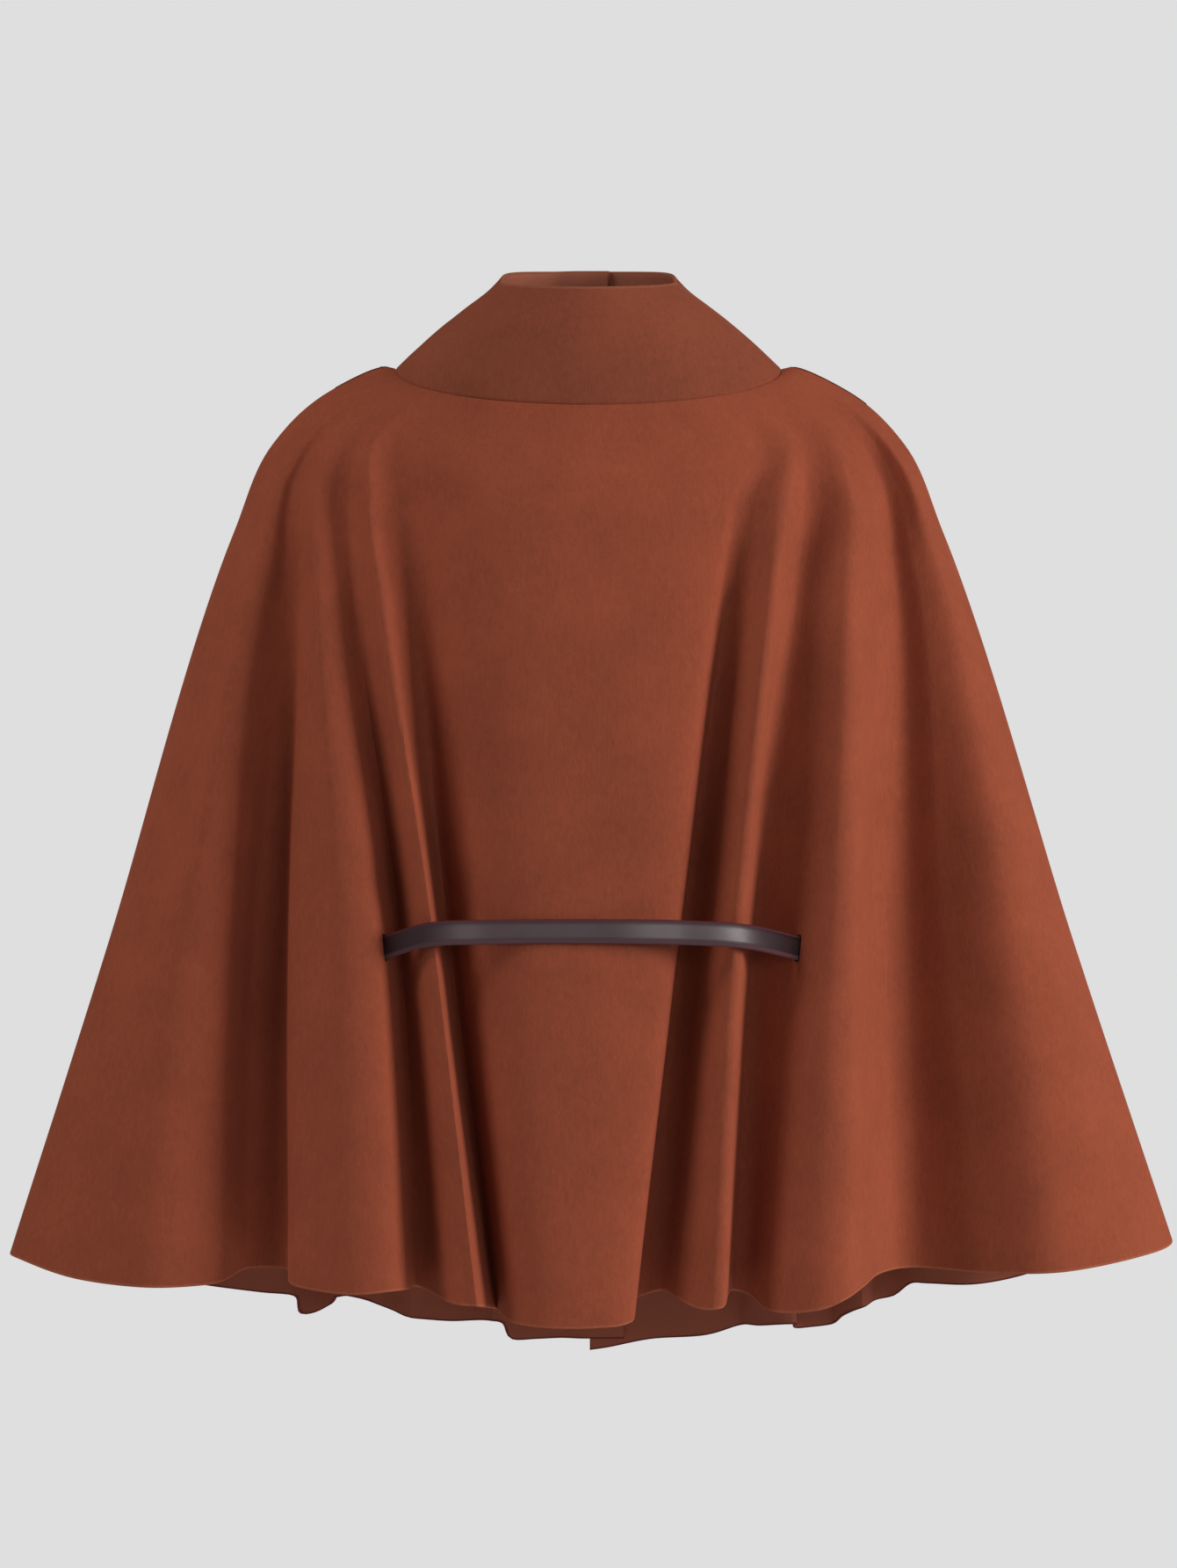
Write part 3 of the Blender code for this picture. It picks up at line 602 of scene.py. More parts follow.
def tucked_into_seam(rows):
    """Rolls the first rows towards the inside of the neck, as cloth does where it is stitched into a seam."""
    run = rows[1] - rows[0]
    rows = np.concatenate([rows[:1], [rows[0] + run * share for share in SEAM_ROWS], rows[1:]])
    gaps = np.linalg.norm(np.diff(rows, axis=0), axis=2)
    far = np.concatenate([np.zeros((1, rows.shape[1])), np.cumsum(gaps, axis=0)])
    roll = 1.0 - np.sqrt(1.0 - (1.0 - np.minimum(far / SEAM_REACH, 1.0)) ** 2)
    move = -level_outward(rows[0]) * SEAM_IN + np.array((0.0, 0.0, -SEAM_DOWN))
    return rows + move * roll[:, :, None]


def with_hem_band(rows):
    """Adds one narrow row of cells along the hem, which shows as its paler fold."""
    rise = unit(rows[-2] - rows[-1])
    return np.concatenate([rows[:-1], [rows[-1] + rise * HEM_BAND], rows[-1:]])


def with_side_seam(rows, end):
    """Sinks the column at a side seam into the fine groove of its stitching."""
    seam = rows[:, end]
    band = seam + unit(rows[:, 1 if end == START else -2] - seam) * SEAM_BAND
    sunk = seam - np.sign(seam) * np.array((SEAM_GROOVE, 0.0, 0.0))
    if end == START:
        return np.concatenate([sunk[:, None], band[:, None], rows[:, 1:]], axis=1)
    return np.concatenate([rows[:, :-1], band[:, None], sunk[:, None]], axis=1)


def set_into_neck(rows):
    """Carries the collar's outer surface on below its seam at both sides, inside the panels' neckline."""
    outward = level_outward(rows[0])
    beside = ease((np.abs(rows[0, :, 0:1]) - FLANGE_FROM_X) / FLANGE_EASE)
    share = FLANGE_LEAST + (1 - FLANGE_LEAST) * beside
    below = [rows[0] + (outward * out - np.array((0.0, 0.0, down))) * share for out, down in COLLAR_FLANGE]
    return np.concatenate([below, rows])


def crease_depth(crease, x, z):
    """How deep a crease is at points of the cloth. It fades towards both its ends."""
    start = np.array((crease.x0, crease.z0), dtype=float)
    run = np.array((crease.x1, crease.z1)) - start
    length = np.linalg.norm(run)
    run /= length
    along = ((x - start[0]) * run[0] + (z - start[1]) * run[1]) / length
    away = ((x - start[0]) * run[1] - (z - start[1]) * run[0]) / crease.width
    fade = ease(CREASE_FULL - np.abs(along - 0.5) * CREASE_FADE)
    return crease.depth * np.exp(-away * away) * fade


def wave(rows, size, seed):
    """Smooth noise from -1 to 1 at each point of a grid, in features of about a size in millimetres."""
    flat = rows.reshape(-1, 3) / size
    values = [noise.noise(Vector((x + seed, y, z * WAVE_STRETCH))) for x, y, z in flat]
    return np.array(values).reshape(rows.shape[:2])


def live_cloth(rows, creases, cloth, seed):
    """Gives a smooth sheet the listed creases and the slight waves of heavy wool."""
    inward = np.zeros(rows.shape[:2])
    for crease in creases:
        inward += crease_depth(crease, rows[:, :, 0], rows[:, :, 2])
    for size, shift, share in WAVES:
        inward += wave(rows, size, seed + shift) * millimetres(cloth.sway) * share
    columns = np.arange(rows.shape[1])
    from_side = ease(np.minimum(columns, columns[::-1]) / CALM_COLUMNS)
    calm = from_side[None, :] * ease((rows[0, :, 2][None, :] - rows[:, :, 2]) / CALM_HEIGHT)
    return rows - outward_normals(rows) * (inward * calm)[:, :, None]


def pressed_under_strap(rows, side, belt):
    """Keeps the cloth behind the strap where the strap lies on it, and lets it out again above and below."""
    lying = [turn for turn in BELT_ROUTE if turn.on == ("back" if side < 0 else "front")]
    route, _ = route_points(sorted(lying, key=lambda turn: turn.x), STRAP_STEP)
    x = rows[:, :, 0]
    strap_y = np.interp(x, route[:, 0], route[:, 1])
    strap_z = np.interp(x, route[:, 0], route[:, 2])
    above = np.clip(np.abs(rows[:, :, 2] - strap_z) - millimetres(belt.width) / 2, 0, None)
    beside = np.clip(np.maximum(route[0, 0] - x, x - route[-1, 0]), 0, None)
    let_out = (above / PRESS_EASE) ** PRESS_POWER + beside * PRESS_END_SLOPE
    limit = side * strap_y - PRESS_GAP + let_out
    pressed = rows.copy()
    pressed[:, :, 1] = side * np.minimum(side * rows[:, :, 1], limit)
    return pressed


def deselect_all():
    for obj in bpy.context.selected_objects:
        obj.select_set(False)


def work_on(obj):
    deselect_all()
    obj.select_set(True)
    bpy.context.view_layer.objects.active = obj


def added(primitive, **settings):
    """A new primitive, selected on its own."""
    deselect_all()
    primitive(**settings)
    return bpy.context.object


def apply_modifiers(obj):
    work_on(obj)
    for modifier in list(obj.modifiers):
        bpy.ops.object.modifier_apply(modifier=modifier.name)


def grid_object(name, rows):
    """A sheet on a grid of points, whose columns run left to right as seen from outside.

    A plain grid is added from -1 to 1, and each of its points then moves to its row and column.
    """
    count_down, count_across = rows.shape[:2]
    obj = added(
        bpy.ops.mesh.primitive_grid_add, x_subdivisions=count_across - 1, y_subdivisions=count_down - 1,
        size=2.0, calc_uvs=True,
    )
    obj.name = name
    obj.data.name = name
    flat = np.empty(len(obj.data.vertices) * 3, np.float32)
    obj.data.vertices.foreach_get("co", flat)
    flat = flat.reshape(-1, 3)
    column = np.rint((flat[:, 0] + 1.0) / 2.0 * (count_across - 1)).astype(int)
    row = np.rint((1.0 - flat[:, 1]) / 2.0 * (count_down - 1)).astype(int)
    placed = (rows[row, column] * MM).astype(np.float32)
    obj.data.vertices.foreach_set("co", placed.ravel())
    obj.data.update()
    return obj


def in_panel_seam(point):
    """Whether a point of a panel, in millimetres, lies at the side seam or the neck seam."""
    x, y, _ = point
    neck = RINGS[0]
    depth = neck.back_depth if y < 0 else neck.front_depth
    if abs(y) < PANEL_SEAM_NEAR and abs(x) > SIDE_SEAM_LEAST_X:
        return True
    return math.hypot(x / (neck.half_width + PANEL_SEAM_NEAR), y / (depth + PANEL_SEAM_NEAR)) < 1.0


def in_collar_seam(point):
    """Whether a point of the collar, in millimetres, lies at the neck seam."""
    _, y, z = point
    seam = COLLAR_RINGS[0]
    slope = seam.back_z / seam.back_depth if y < 0 else seam.front_z / seam.front_depth
    return z < slope * abs(y) + COLLAR_SEAM_NEAR


def at_hem(point):
    """Whether a point of a panel, in millimetres, lies in the zone of its hem."""
    return point[2] < HEM_ZONE_TOP


def at_collar_rim(point):
    """Whether a point of the collar, in millimetres, lies in the zone of its rim."""
    return point[2] > COLLAR_RIM_ZONE_BOTTOM


def give_wall(obj, wall):
    """Thickens a sheet inwards and gives its outer, rim and inner faces a material slot each."""
    solidify = obj.modifiers.new("wall", "SOLIDIFY")
    solidify.thickness = wall
    solidify.offset = -1.0
    solidify.material_offset_rim = RIM
    solidify.material_offset = INNER
    for _ in (OUTER, RIM, INNER):
        obj.data.materials.append(None)
    apply_modifiers(obj)


def finish_rim(obj, rounding, in_seam, in_edge_zone, edge_kind):
    """Rounds the rim of a wall where it isn't sewn into a seam, and marks what its material shows.

    In the edge zone, the faces of the rim and of the narrow band beside it get the attribute of the edge's
    kind, which places the paler fibre and painted highlight of a raw edge and the painted shade of the
    fronts' cut edges. The inner faces get the attribute inside, which places the wool's painted light. The
    material slots are emptied.
    """
    bm = bmesh.new()
    bm.from_mesh(obj.data)
    seam = {vert for vert in bm.verts if in_seam(vert.co / MM)}
    open_edges = [
        edge for edge in bm.edges
        if len({face.material_index for face in edge.link_faces}) > 1 and not seam.issuperset(edge.verts)
    ]
    bmesh.ops.bevel(
        bm, geom=open_edges, offset=rounding, segments=3, profile=0.5, affect="EDGES", clamp_overlap=True,
        material=RIM,
    )
    edged = bm.faces.layers.float.new(edge_kind)
    inside = bm.faces.layers.float.new("inside")
    band = HEM_BAND * MM
    for face in bm.faces:
        face[inside] = float(face.material_index == INNER)
        if not in_edge_zone(face.calc_center_median() / MM) or seam.issuperset(face.verts):
            continue
        beside = any(near.material_index == RIM for edge in face.edges for near in edge.link_faces)
        heights = [vert.co.z for vert in face.verts]
        low = max(heights) - min(heights) < MOST_BANDS_HIGH * band
        narrow = low and face.calc_area() < MOST_SQUARE_BANDS * band**2
        on_rim = face.material_index == RIM and abs(face.normal.z) > RIM_FACING
        face[edged] = max(float(on_rim), BAND_MARK * (beside and narrow))
    for face in bm.faces:
        face.material_index = OUTER
    bm.to_mesh(obj.data)
    bm.free()
    obj.data.materials.clear()


def cut_with(obj, cutter):
    """Cuts one closed mesh out of another and removes the cutter."""
    modifier = obj.modifiers.new("cut", "BOOLEAN")
    modifier.operation = "DIFFERENCE"
    modifier.solver = "EXACT"
    modifier.object = cutter
    apply_modifiers(obj)
    bpy.data.objects.remove(cutter, do_unlink=True)


def finish_piece(obj, material, slot, *nodes):
    """Smooth shading, the material, the body that the piece rides on and the nodes it stands for."""
    work_on(obj)
    bpy.ops.object.shade_smooth_by_angle(angle=math.radians(SMOOTH_DEGREES))
    obj.data.materials.append(material)
    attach(obj, BODY)
    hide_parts(*nodes)


def close_mesh(fill_ends=False):
    """Merges the active mesh's doubles, closes its open ends if asked and turns its faces outwards."""
    bpy.ops.object.mode_set(mode="EDIT")
    bpy.ops.mesh.select_all(action="SELECT")
    bpy.ops.mesh.remove_doubles(threshold=MERGE)
    if fill_ends:
        bpy.ops.mesh.fill_holes(sides=0)
    bpy.ops.mesh.normals_make_consistent(inside=False)
    bpy.ops.object.mode_set(mode="OBJECT")


def route_points(route, step):
    """A smooth route through the named turns, and the index at which each turn lies on it."""
    points = np.array([(turn.x, turn.y, turn.z) for turn in route], dtype=float)
    gaps = np.linalg.norm(np.diff(points, axis=0), axis=1)
    steps = [max(1, round(gap / step)) for gap in gaps]
    starts = np.concatenate(([0], np.cumsum(steps)))
    return smooth(points, even_knots(points), steps), starts


def loft_strap(name, points, section, belt):
    """A closed strap on edge along points, on a section of (out, high) shares of its wall and half width."""
    wall = millimetres(belt.wall)
    along = np.gradient(points, axis=0)
    outward = unit(np.stack([along[:, 1], -along[:, 0], np.zeros(len(points))], axis=1))
    upright = np.array([0.0, 0.0, millimetres(belt.width) / 2])
    ring = list(section) + [section[0]]
    rows = np.array([points + outward * wall * out + upright * high for out, high in ring])
    strap = grid_object(name, rows)
    close_mesh(fill_ends=True)
    return strap


def mark_faces(obj, name, values):
    """Gives each face of a mesh a number that its material reads."""
    layer = obj.data.attributes.new(name, "FLOAT", "FACE")
    layer.data.foreach_set("value", np.asarray(values, np.float32))


def section_stretch(obj, count):
    """Which of a lofted section's stretches each face came from, read from the grid's own map."""
    corners = np.empty(len(obj.data.loops) * 2, np.float32)
    obj.data.uv_layers.active.data.foreach_get("uv", corners)
    height = corners[1::2]
    middles = [height[face.loop_start:face.loop_start + face.loop_total].mean() for face in obj.data.polygons]
    return np.clip(((1.0 - np.array(middles)) * count).astype(int), 0, count - 1)


def cut_slits(panel, node, belt):
    """Cuts the slit that the strap passes through, wherever its route says that it meets this panel."""
    points, starts = route_points(BELT_ROUTE, STRAP_STEP)
    out = SLIT_GAP / millimetres(belt.wall)
    high = 1.0 + SLIT_GAP / (millimetres(belt.width) / 2)
    section = ((-out, -high), (1 + out, -high), (1 + out, high), (-out, high))
    for turn, start in zip(BELT_ROUTE, starts):
        if turn.slit == node:
            near = np.linalg.norm(points - points[start], axis=1) <= SLIT_REACH
            cutter = loft_strap("slit", points[near], section, belt)
            # The slit's cut walls get the raw edges' paler fibre and painted highlight
            mark_faces(cutter, "raw_edge_fibre_and_highlight", [1.0] * len(cutter.data.polygons))
            cut_with(panel, cutter)


class Value:
    """One output of a shader node. Arithmetic on it adds Math nodes."""

    def __init__(self, graph, socket):
        self.graph = graph
        self.socket = socket

    def math(self, operation, first, second):
        return self.graph.node("ShaderNodeMath", {"operation": operation}, {0: first, 1: second})

    def __add__(self, other):
        return self.math("ADD", self, other)

    def __radd__(self, other):
        return self.math("ADD", other, self)

    def __sub__(self, other):
        return self.math("SUBTRACT", self, other)

    def __rsub__(self, other):
        return self.math("SUBTRACT", other, self)

    def __mul__(self, other):
        return self.math("MULTIPLY", self, other)

    def __rmul__(self, other):
        return self.math("MULTIPLY", other, self)

    def __abs__(self):
        return self.math("ABSOLUTE", self, 0.0)


class Graph:
    """The node tree of one new material."""

    def __init__(self, name):
        self.material = bpy.data.materials.new(name)
        self.material.use_nodes = True
        self.tree = self.material.node_tree
        self.shader = self.tree.nodes["Principled BSDF"]

    def node(self, kind, settings=None, inputs=None, output=0):
        """Adds a node: its settings first, then the values or links of its sockets."""
        made = self.tree.nodes.new(kind)
        for key, value in (settings or {}).items():
            setattr(made, key, value)
        for key, value in (inputs or {}).items():
            self.plug(made.inputs[key], value)
        return Value(self, made.outputs[output])

    def plug(self, socket, value):
        if isinstance(value, Value):
            self.tree.links.new(value.socket, socket)
        else:
            socket.default_value = value

    def set(self, **sockets):
        """Sets or links sockets of the material's shader, whose names are written with _ for a space."""
        for key, value in sockets.items():
            self.plug(self.shader.inputs[key.replace("_", " ")], value)

    def place(self, stretch=(1.0, 1.0, 1.0)):
        """The object's own coordinates, with each axis scaled."""
        own = self.node("ShaderNodeTexCoord", output="Object")
        return self.node("ShaderNodeMapping", None, {"Vector": own, "Scale": stretch})

    def noise(self, place, grain):
        """Smooth noise from 0 to 1."""
        inputs = {"Vector": place, "Scale": grain.scale, "Detail": grain.detail, "Roughness": grain.roughness}
        return self.node("ShaderNodeTexNoise", None, inputs, output="Fac")

    def soft_step(self, value, start, end, low, high):
        """Goes softly from low to high while a value goes from start to end."""
        inputs = {0: value, 1: start, 2: end, 3: low, 4: high}
        return self.node("ShaderNodeMapRange", {"interpolation_type": "SMOOTHSTEP"}, inputs)

    def blend(self, share, low, high):
        """A colour between two others, each a plain colour or the output of a node.

        A Mix node's colours are its inputs 6 and 7 and its output 2.
        """
        low, high = (end if isinstance(end, Value) else (*end, 1.0) for end in (low, high))
        return self.node("ShaderNodeMix", {"data_type": "RGBA"}, {0: share, 6: low, 7: high}, output=2)

    def bump(self, height, distance, strength):
        inputs = {"Height": height, "Distance": distance, "Strength": strength}
        return self.node("ShaderNodeBump", None, inputs, output="Normal")

    def attribute(self, name):
        return self.node("ShaderNodeAttribute", {"attribute_name": name}, output="Fac")


def tinted(colour, amount, warmth=0.0):
    """A colour made lighter or darker by a factor, and redder by a share."""
    red, green, blue = colour
    return (red * amount * (1 + warmth), green * amount, blue * amount * (1 - warmth))


def times(colour, factors):
    """A colour with each of its parts scaled on its own."""
    return tuple(part * factor for part, factor in zip(colour, factors))


def wool_material(name, colour, cloth, inside_painted_light=1.0):
    """Felted wool: a short nap that runs down a mottled, matt cloth, with raw edges paler for their fibres
    and a painted highlight, painted light on its inside and painted shade on the fronts' cut edges.
    """
    graph = Graph(name)
    nap_place = graph.place(NAP_STRETCH)
    plain_place = graph.place()
    fibre = graph.noise(nap_place, FIBRE)
    tuft = graph.noise(nap_place, TUFT)
    speck = graph.noise(plain_place, SPECK)
    cloud = graph.noise(plain_place, CLOUD)
    tone = fibre * FIBRE.tone + tuft * TUFT.tone + speck * SPECK.tone + cloud * CLOUD.tone
    spread = (tone - TONE_MIDDLE) * TONE_SPREAD
    low = tinted(colour, 1 - cloth.mottle, -MOTTLE_WARMTH)
    high = tinted(colour, 1 + cloth.mottle, MOTTLE_WARMTH)
    base = graph.blend(spread, low, high)
    # Paler raw edges: partly their cut fibres' own tone and partly a painted highlight of the light they
    # catch
    edge = graph.attribute("raw_edge_fibre_and_highlight") * (tuft * RAW_EDGE_TUFTS + RAW_EDGE_LEAST)
    base = graph.blend(edge, base, times(colour, RAW_EDGE_FIBRE_AND_HIGHLIGHT_TINT))
    # Painted light: the inner faces are made lighter and less red, standing in for the light that reaches
    # them
    inside_painted_light_colour = tinted(times(colour, INSIDE_PAINTED_LIGHT_TINT), inside_painted_light)
    base = graph.blend(graph.attribute("inside") * INSIDE_PAINTED_LIGHT_COVER, base, inside_painted_light_colour)
    # Painted shade: the fronts' cut edges at the hem are coloured dark burgundy, standing in for the shade
    # along them
    base = graph.blend(graph.attribute("painted_edge_shade") * PAINTED_EDGE_SHADE_COVER, base, tuple(cloth.painted_edge_shade_colour))
    height = fibre * FIBRE.relief + tuft * TUFT.relief + speck * SPECK.relief
    graph.set(
        Base_Color=base,
        Roughness=0.95,
        Specular_IOR_Level=0.08,
        Sheen_Weight=cloth.sheen,
        Sheen_Roughness=0.5,
        Sheen_Tint=(*tinted(colour, SHEEN_TINT), 1.0),
        Normal=graph.bump(height, cloth.nap, 0.5),
    )
    return graph.material


def leather_material(name, colour, settings):
    """Smooth satin leather: fine grain, slight wear, painted edges and painted shade where it runs into the
    slits.
    """
    graph = Graph(name)
    place = graph.place()
    grain = graph.noise(place, LEATHER_GRAIN)
    wear = graph.noise(place, LEATHER_WEAR)
    painted = graph.attribute("painted_edge")
    base = graph.blend(wear, *(tinted(colour, tone) for tone in LEATHER_TONES))
    # Painted shade: the leather darkens towards the slits, standing in for the shadow of the cloth there
    beside = graph.node("ShaderNodeSeparateXYZ", None, {0: place}, output="X")
    painted_slit_shade = graph.soft_step(abs(beside), SLIT_PAINTED_SHADE_FROM, SLIT_PAINTED_SHADE_TO, 0.0, SLIT_PAINTED_SHADE_STRENGTH)
    base = graph.blend(painted_slit_shade, base, tinted(settings.edge_colour, SLIT_PAINTED_SHADE_TINT))
    base = graph.blend(painted, base, tuple(settings.edge_colour))
    least = settings.roughness - WEAR_ROUGHNESS / 2
    graph.set(
        Base_Color=base,
        Roughness=wear * WEAR_ROUGHNESS + painted * PAINT_ROUGHNESS + least,
        Specular_IOR_Level=0.8,
        Normal=graph.bump(grain, *LEATHER_RELIEF),
    )
    return graph.material


def metal_material(name, colour):
    """Dark satin metal, brushed along its bars and brighter where it is rubbed."""
    graph = Graph(name)
    rub = graph.noise(graph.place(), METAL_RUB)
    brush = graph.noise(graph.place(BRUSH_STRETCH), METAL_BRUSH)
    graph.set(
        Base_Color=graph.blend(rub, *(tinted(colour, tone) for tone in METAL_TONES)),
        Metallic=1.0,
        Roughness=rub * RUB_ROUGHNESS + METAL_ROUGHNESS,
        Normal=graph.bump(brush, *METAL_RELIEF),
    )
    return graph.material


def length_setting(name, description, default):
    """A setting in metres."""
    return bpy.props.FloatProperty(name=name, description=description, default=default, unit="LENGTH")


def share_setting(name, description, default):
    """A setting that is a share."""
    return bpy.props.FloatProperty(name=name, description=description, default=default, subtype="FACTOR")


def brightness_setting(name, description, default):
    """A setting of zero or more."""
    return bpy.props.FloatProperty(name=name, description=description, default=default, min=0.0)


def colour_setting(name, description, default):
    """A setting that is a colour."""
    return bpy.props.FloatVectorProperty(name=name, description=description, default=default, subtype="COLOR")


class ClothSettings(bpy.types.PropertyGroup):
    """The wool of the panels and the collar"""

    wall: length_setting("Panel wall", "Thickness of the felted wool", 0.0026)
    collar_wall: length_setting("Collar wall", "Thickness of the doubled collar", 0.003)
    cell: length_setting("Cell", "Spacing of the mesh across the folds at the hem", 0.0055)
    rounding: length_setting("Edge rounding", "How far the cut edges are rounded", 0.0012)
    sway: length_setting("Sway", "How far the cloth waves between its folds", 0.0011)
    colour: colour_setting("Wool colour", "Colour of the panels", (0.303, 0.0725, 0.0365))
    collar_colour: colour_setting("Collar colour", "Colour of the collar", (0.248, 0.0655, 0.0345))
    # Painted shade: the dark burgundy that the fronts' cut edges at the hem are coloured with
    painted_edge_shade_colour: colour_setting("Bound edge colour", "Colour of the fronts' cut edges", (0.06, 0.009, 0.017))
    mottle: share_setting("Mottle", "How much lighter and darker the wool is in places", 0.17)
    sheen: share_setting("Sheen", "Weight of the soft light that the nap catches", 0.2)
    nap: length_setting("Nap", "Height of the nap in the bump", 0.0006)


class BeltSettings(bpy.types.PropertyGroup):
    """The belt with its keeper and its buckle"""

    width: length_setting("Width", "Width of the strap", 0.0175)
    wall: length_setting("Wall", "Thickness of the strap", 0.0025)
    colour: colour_setting("Leather colour", "Colour of the strap's face", (0.042, 0.0125, 0.0185))
    edge_colour: colour_setting("Edge colour", "Colour of the painted edges", (0.07, 0.011, 0.018))
    roughness: share_setting("Roughness", "Roughness of the leather's face", 0.42)
    buckle_long: length_setting("Buckle length", "Length of the buckle's frame", 0.030)
    buckle_tall: length_setting("Buckle height", "Height of the buckle's frame", 0.027)
    buckle_bar: length_setting("Buckle bar", "Width of the frame's bars", 0.003)
    buckle_thick: length_setting("Buckle thickness", "Thickness of the frame", 0.0024)
    buckle_tilt: bpy.props.FloatProperty(
        name="Buckle tilt", description="How far the frame leans on the strap", default=math.radians(8),
        subtype="ANGLE",
    )
    prong_radius: length_setting("Prong radius", "Radius of the prong", 0.001)
    keeper_long: length_setting("Keeper length", "Length of the keeper along the strap", 0.009)
    keeper_wall: length_setting("Keeper wall", "Thickness of the keeper's leather", 0.0015)
    metal_colour: colour_setting("Metal colour", "Colour of the buckle", (0.12, 0.1, 0.1))


class StageSettings(bpy.types.PropertyGroup):
    """The backdrop, the floor and the lights"""

    grey: share_setting("Backdrop grey", "Brightness of the plain backdrop", 0.737)
    fill: brightness_setting("Fill", "Brightness of the light from all round", 0.16)
    light: brightness_setting("Light", "How bright the soft boxes are together", 1.0)
    box_size: length_setting("Soft box size", "Side of each square soft box", 1.0)
    box_distance: length_setting("Soft box distance", "How far from the jacket the soft boxes stand", 3.0)
    floor_drop: length_setting("Floor drop", "How far below the shoulders the floor lies", 1.45)


# A panel's node, its fold table, which side it is on, which ends of its rows are side seams, its creases, the
# seed of its waves, the attribute of its hem's edge, which places the paler fibre and painted highlight of
# the back's raw hem and the painted shade on the fronts' cut edges, and its cut as width and length in metres
Panel = namedtuple("Panel", "node folds side seams creases seed edge flat")
PANELS = (
    Panel("back", BACK_FOLDS, -1, (START, END), BACK_CREASES, 3, "raw_edge_fibre_and_highlight", (1.46, 0.74)),
    Panel("front_right", RIGHT_FRONT_FOLDS, 1, (START,), FRONT_CREASES, 11, "painted_edge_shade", (0.66, 0.74)),
    Panel("front_left", LEFT_FRONT_FOLDS, 1, (END,), FRONT_CREASES, 19, "painted_edge_shade", (0.70, 0.745)),
)


def make_panel(panel, cloth, belt):
    """One panel of the jacket, from its fold table to its finished cloth."""
    rows = panel_rows(panel, millimetres(cloth.cell))
    rows = live_cloth(rows, panel.creases, cloth, panel.seed)
    rows = pressed_under_strap(tucked_into_seam(rows), panel.side, belt)
    rows = with_hem_band(rows)
    for end in panel.seams:
        rows = with_side_seam(rows, end)
    sheet = grid_object(panel.node + "_panel", rows)
    give_wall(sheet, cloth.wall)
    finish_rim(sheet, cloth.rounding, in_panel_seam, at_hem, panel.edge)
    cut_slits(sheet, panel.node, belt)
    name = "panel_felt"
    material = bpy.data.materials.get(name) or wool_material(name, tuple(cloth.colour), cloth)
    finish_piece(sheet, material, "wool", panel.node)


class JACKET_OT_back(bpy.types.Operator):
    """Models the back panel in its pleats"""

    bl_idname = "jacket.back"
    bl_label = "Back panel"

    def execute(self, context):
        make_panel(PANELS[0], context.scene.jacket_cloth, context.scene.jacket_belt)
        return {"FINISHED"}


class JACKET_OT_fronts(bpy.types.Operator):
    """Models the two fronts in their pleats, the right one over the left"""

    bl_idname = "jacket.fronts"
    bl_label = "Fronts"

    def execute(self, context):
        for panel in PANELS[1:]:
            make_panel(panel, context.scene.jacket_cloth, context.scene.jacket_belt)
        return {"FINISHED"}


def collar_rows():
    """The collar's outer surface, from its rim to its seam. Its left end passes under its right one."""
    up = [ring.up for ring in COLLAR_RINGS]
    table = np.array([ring[2:-1] for ring in COLLAR_RINGS], dtype=float)
    rings = smooth(table, up, [ring.rows for ring in COLLAR_RINGS[:-1]])
    sink_from, sink_to = COLLAR_SINK_DEGREES
    rows = []
    for half_width, back_depth, front_depth, side_z, back_z, front_z, flat in rings:
        start = -math.pi - math.asin(COLLAR_LAP_X / half_width)
        end = math.pi - math.asin(COLLAR_TOP_X / half_width)
        row = []
        for angle in np.linspace(start, end, COLLAR_COLUMNS + 1):
            across = math.sin(angle)
            along = math.cos(angle)
            sunk = (-math.degrees(angle) - sink_from) / (sink_to - sink_from)
            sink = COLLAR_SINK * ease(sunk)
            depth = back_depth if along > 0 else front_depth
            x = (half_width - sink) * across
            y = -(depth - sink) * along
            rise = (back_z - side_z) * along if along > 0 else (front_z - side_z) * abs(along) ** flat
            row.append((x, y, side_z + rise))
        rows.append(row)
    return np.array(rows)


class JACKET_OT_collar(bpy.types.Operator):
    """Models the wide funnel collar"""

    bl_idname = "jacket.collar"
    bl_label = "Collar"

    def execute(self, context):
        cloth = context.scene.jacket_cloth
        rows = set_into_neck(tucked_into_seam(collar_rows()))
        collar = grid_object("collar_band", rows[::-1])
        give_wall(collar, cloth.collar_wall)
        finish_rim(collar, cloth.rounding, in_collar_seam, at_collar_rim, "raw_edge_fibre_and_highlight")
        material = wool_material("collar_felt", tuple(cloth.collar_colour), cloth, COLLAR_INSIDE_PAINTED_LIGHT)
        finish_piece(collar, material, "collar_wool", "collar")
        return {"FINISHED"}


def rod(name, route, radius):
    """A round rod through the named turns, as a closed mesh."""
    points, _ = route_points(route, ROD_STEP)
    drawn = added(bpy.ops.curve.primitive_nurbs_path_add)
    drawn.name = name
    curve = drawn.data
    curve.splines.clear()
    spline = curve.splines.new("POLY")
    spline.points.add(len(points) - 1)
    for point, place in zip(spline.points, points):
        point.co = (*(place * MM), 1.0)
    curve.bevel_depth = radius
    curve.bevel_resolution = 4
    curve.use_fill_caps = True
    bpy.ops.object.convert(target="MESH")
    close_mesh()
    return bpy.context.object


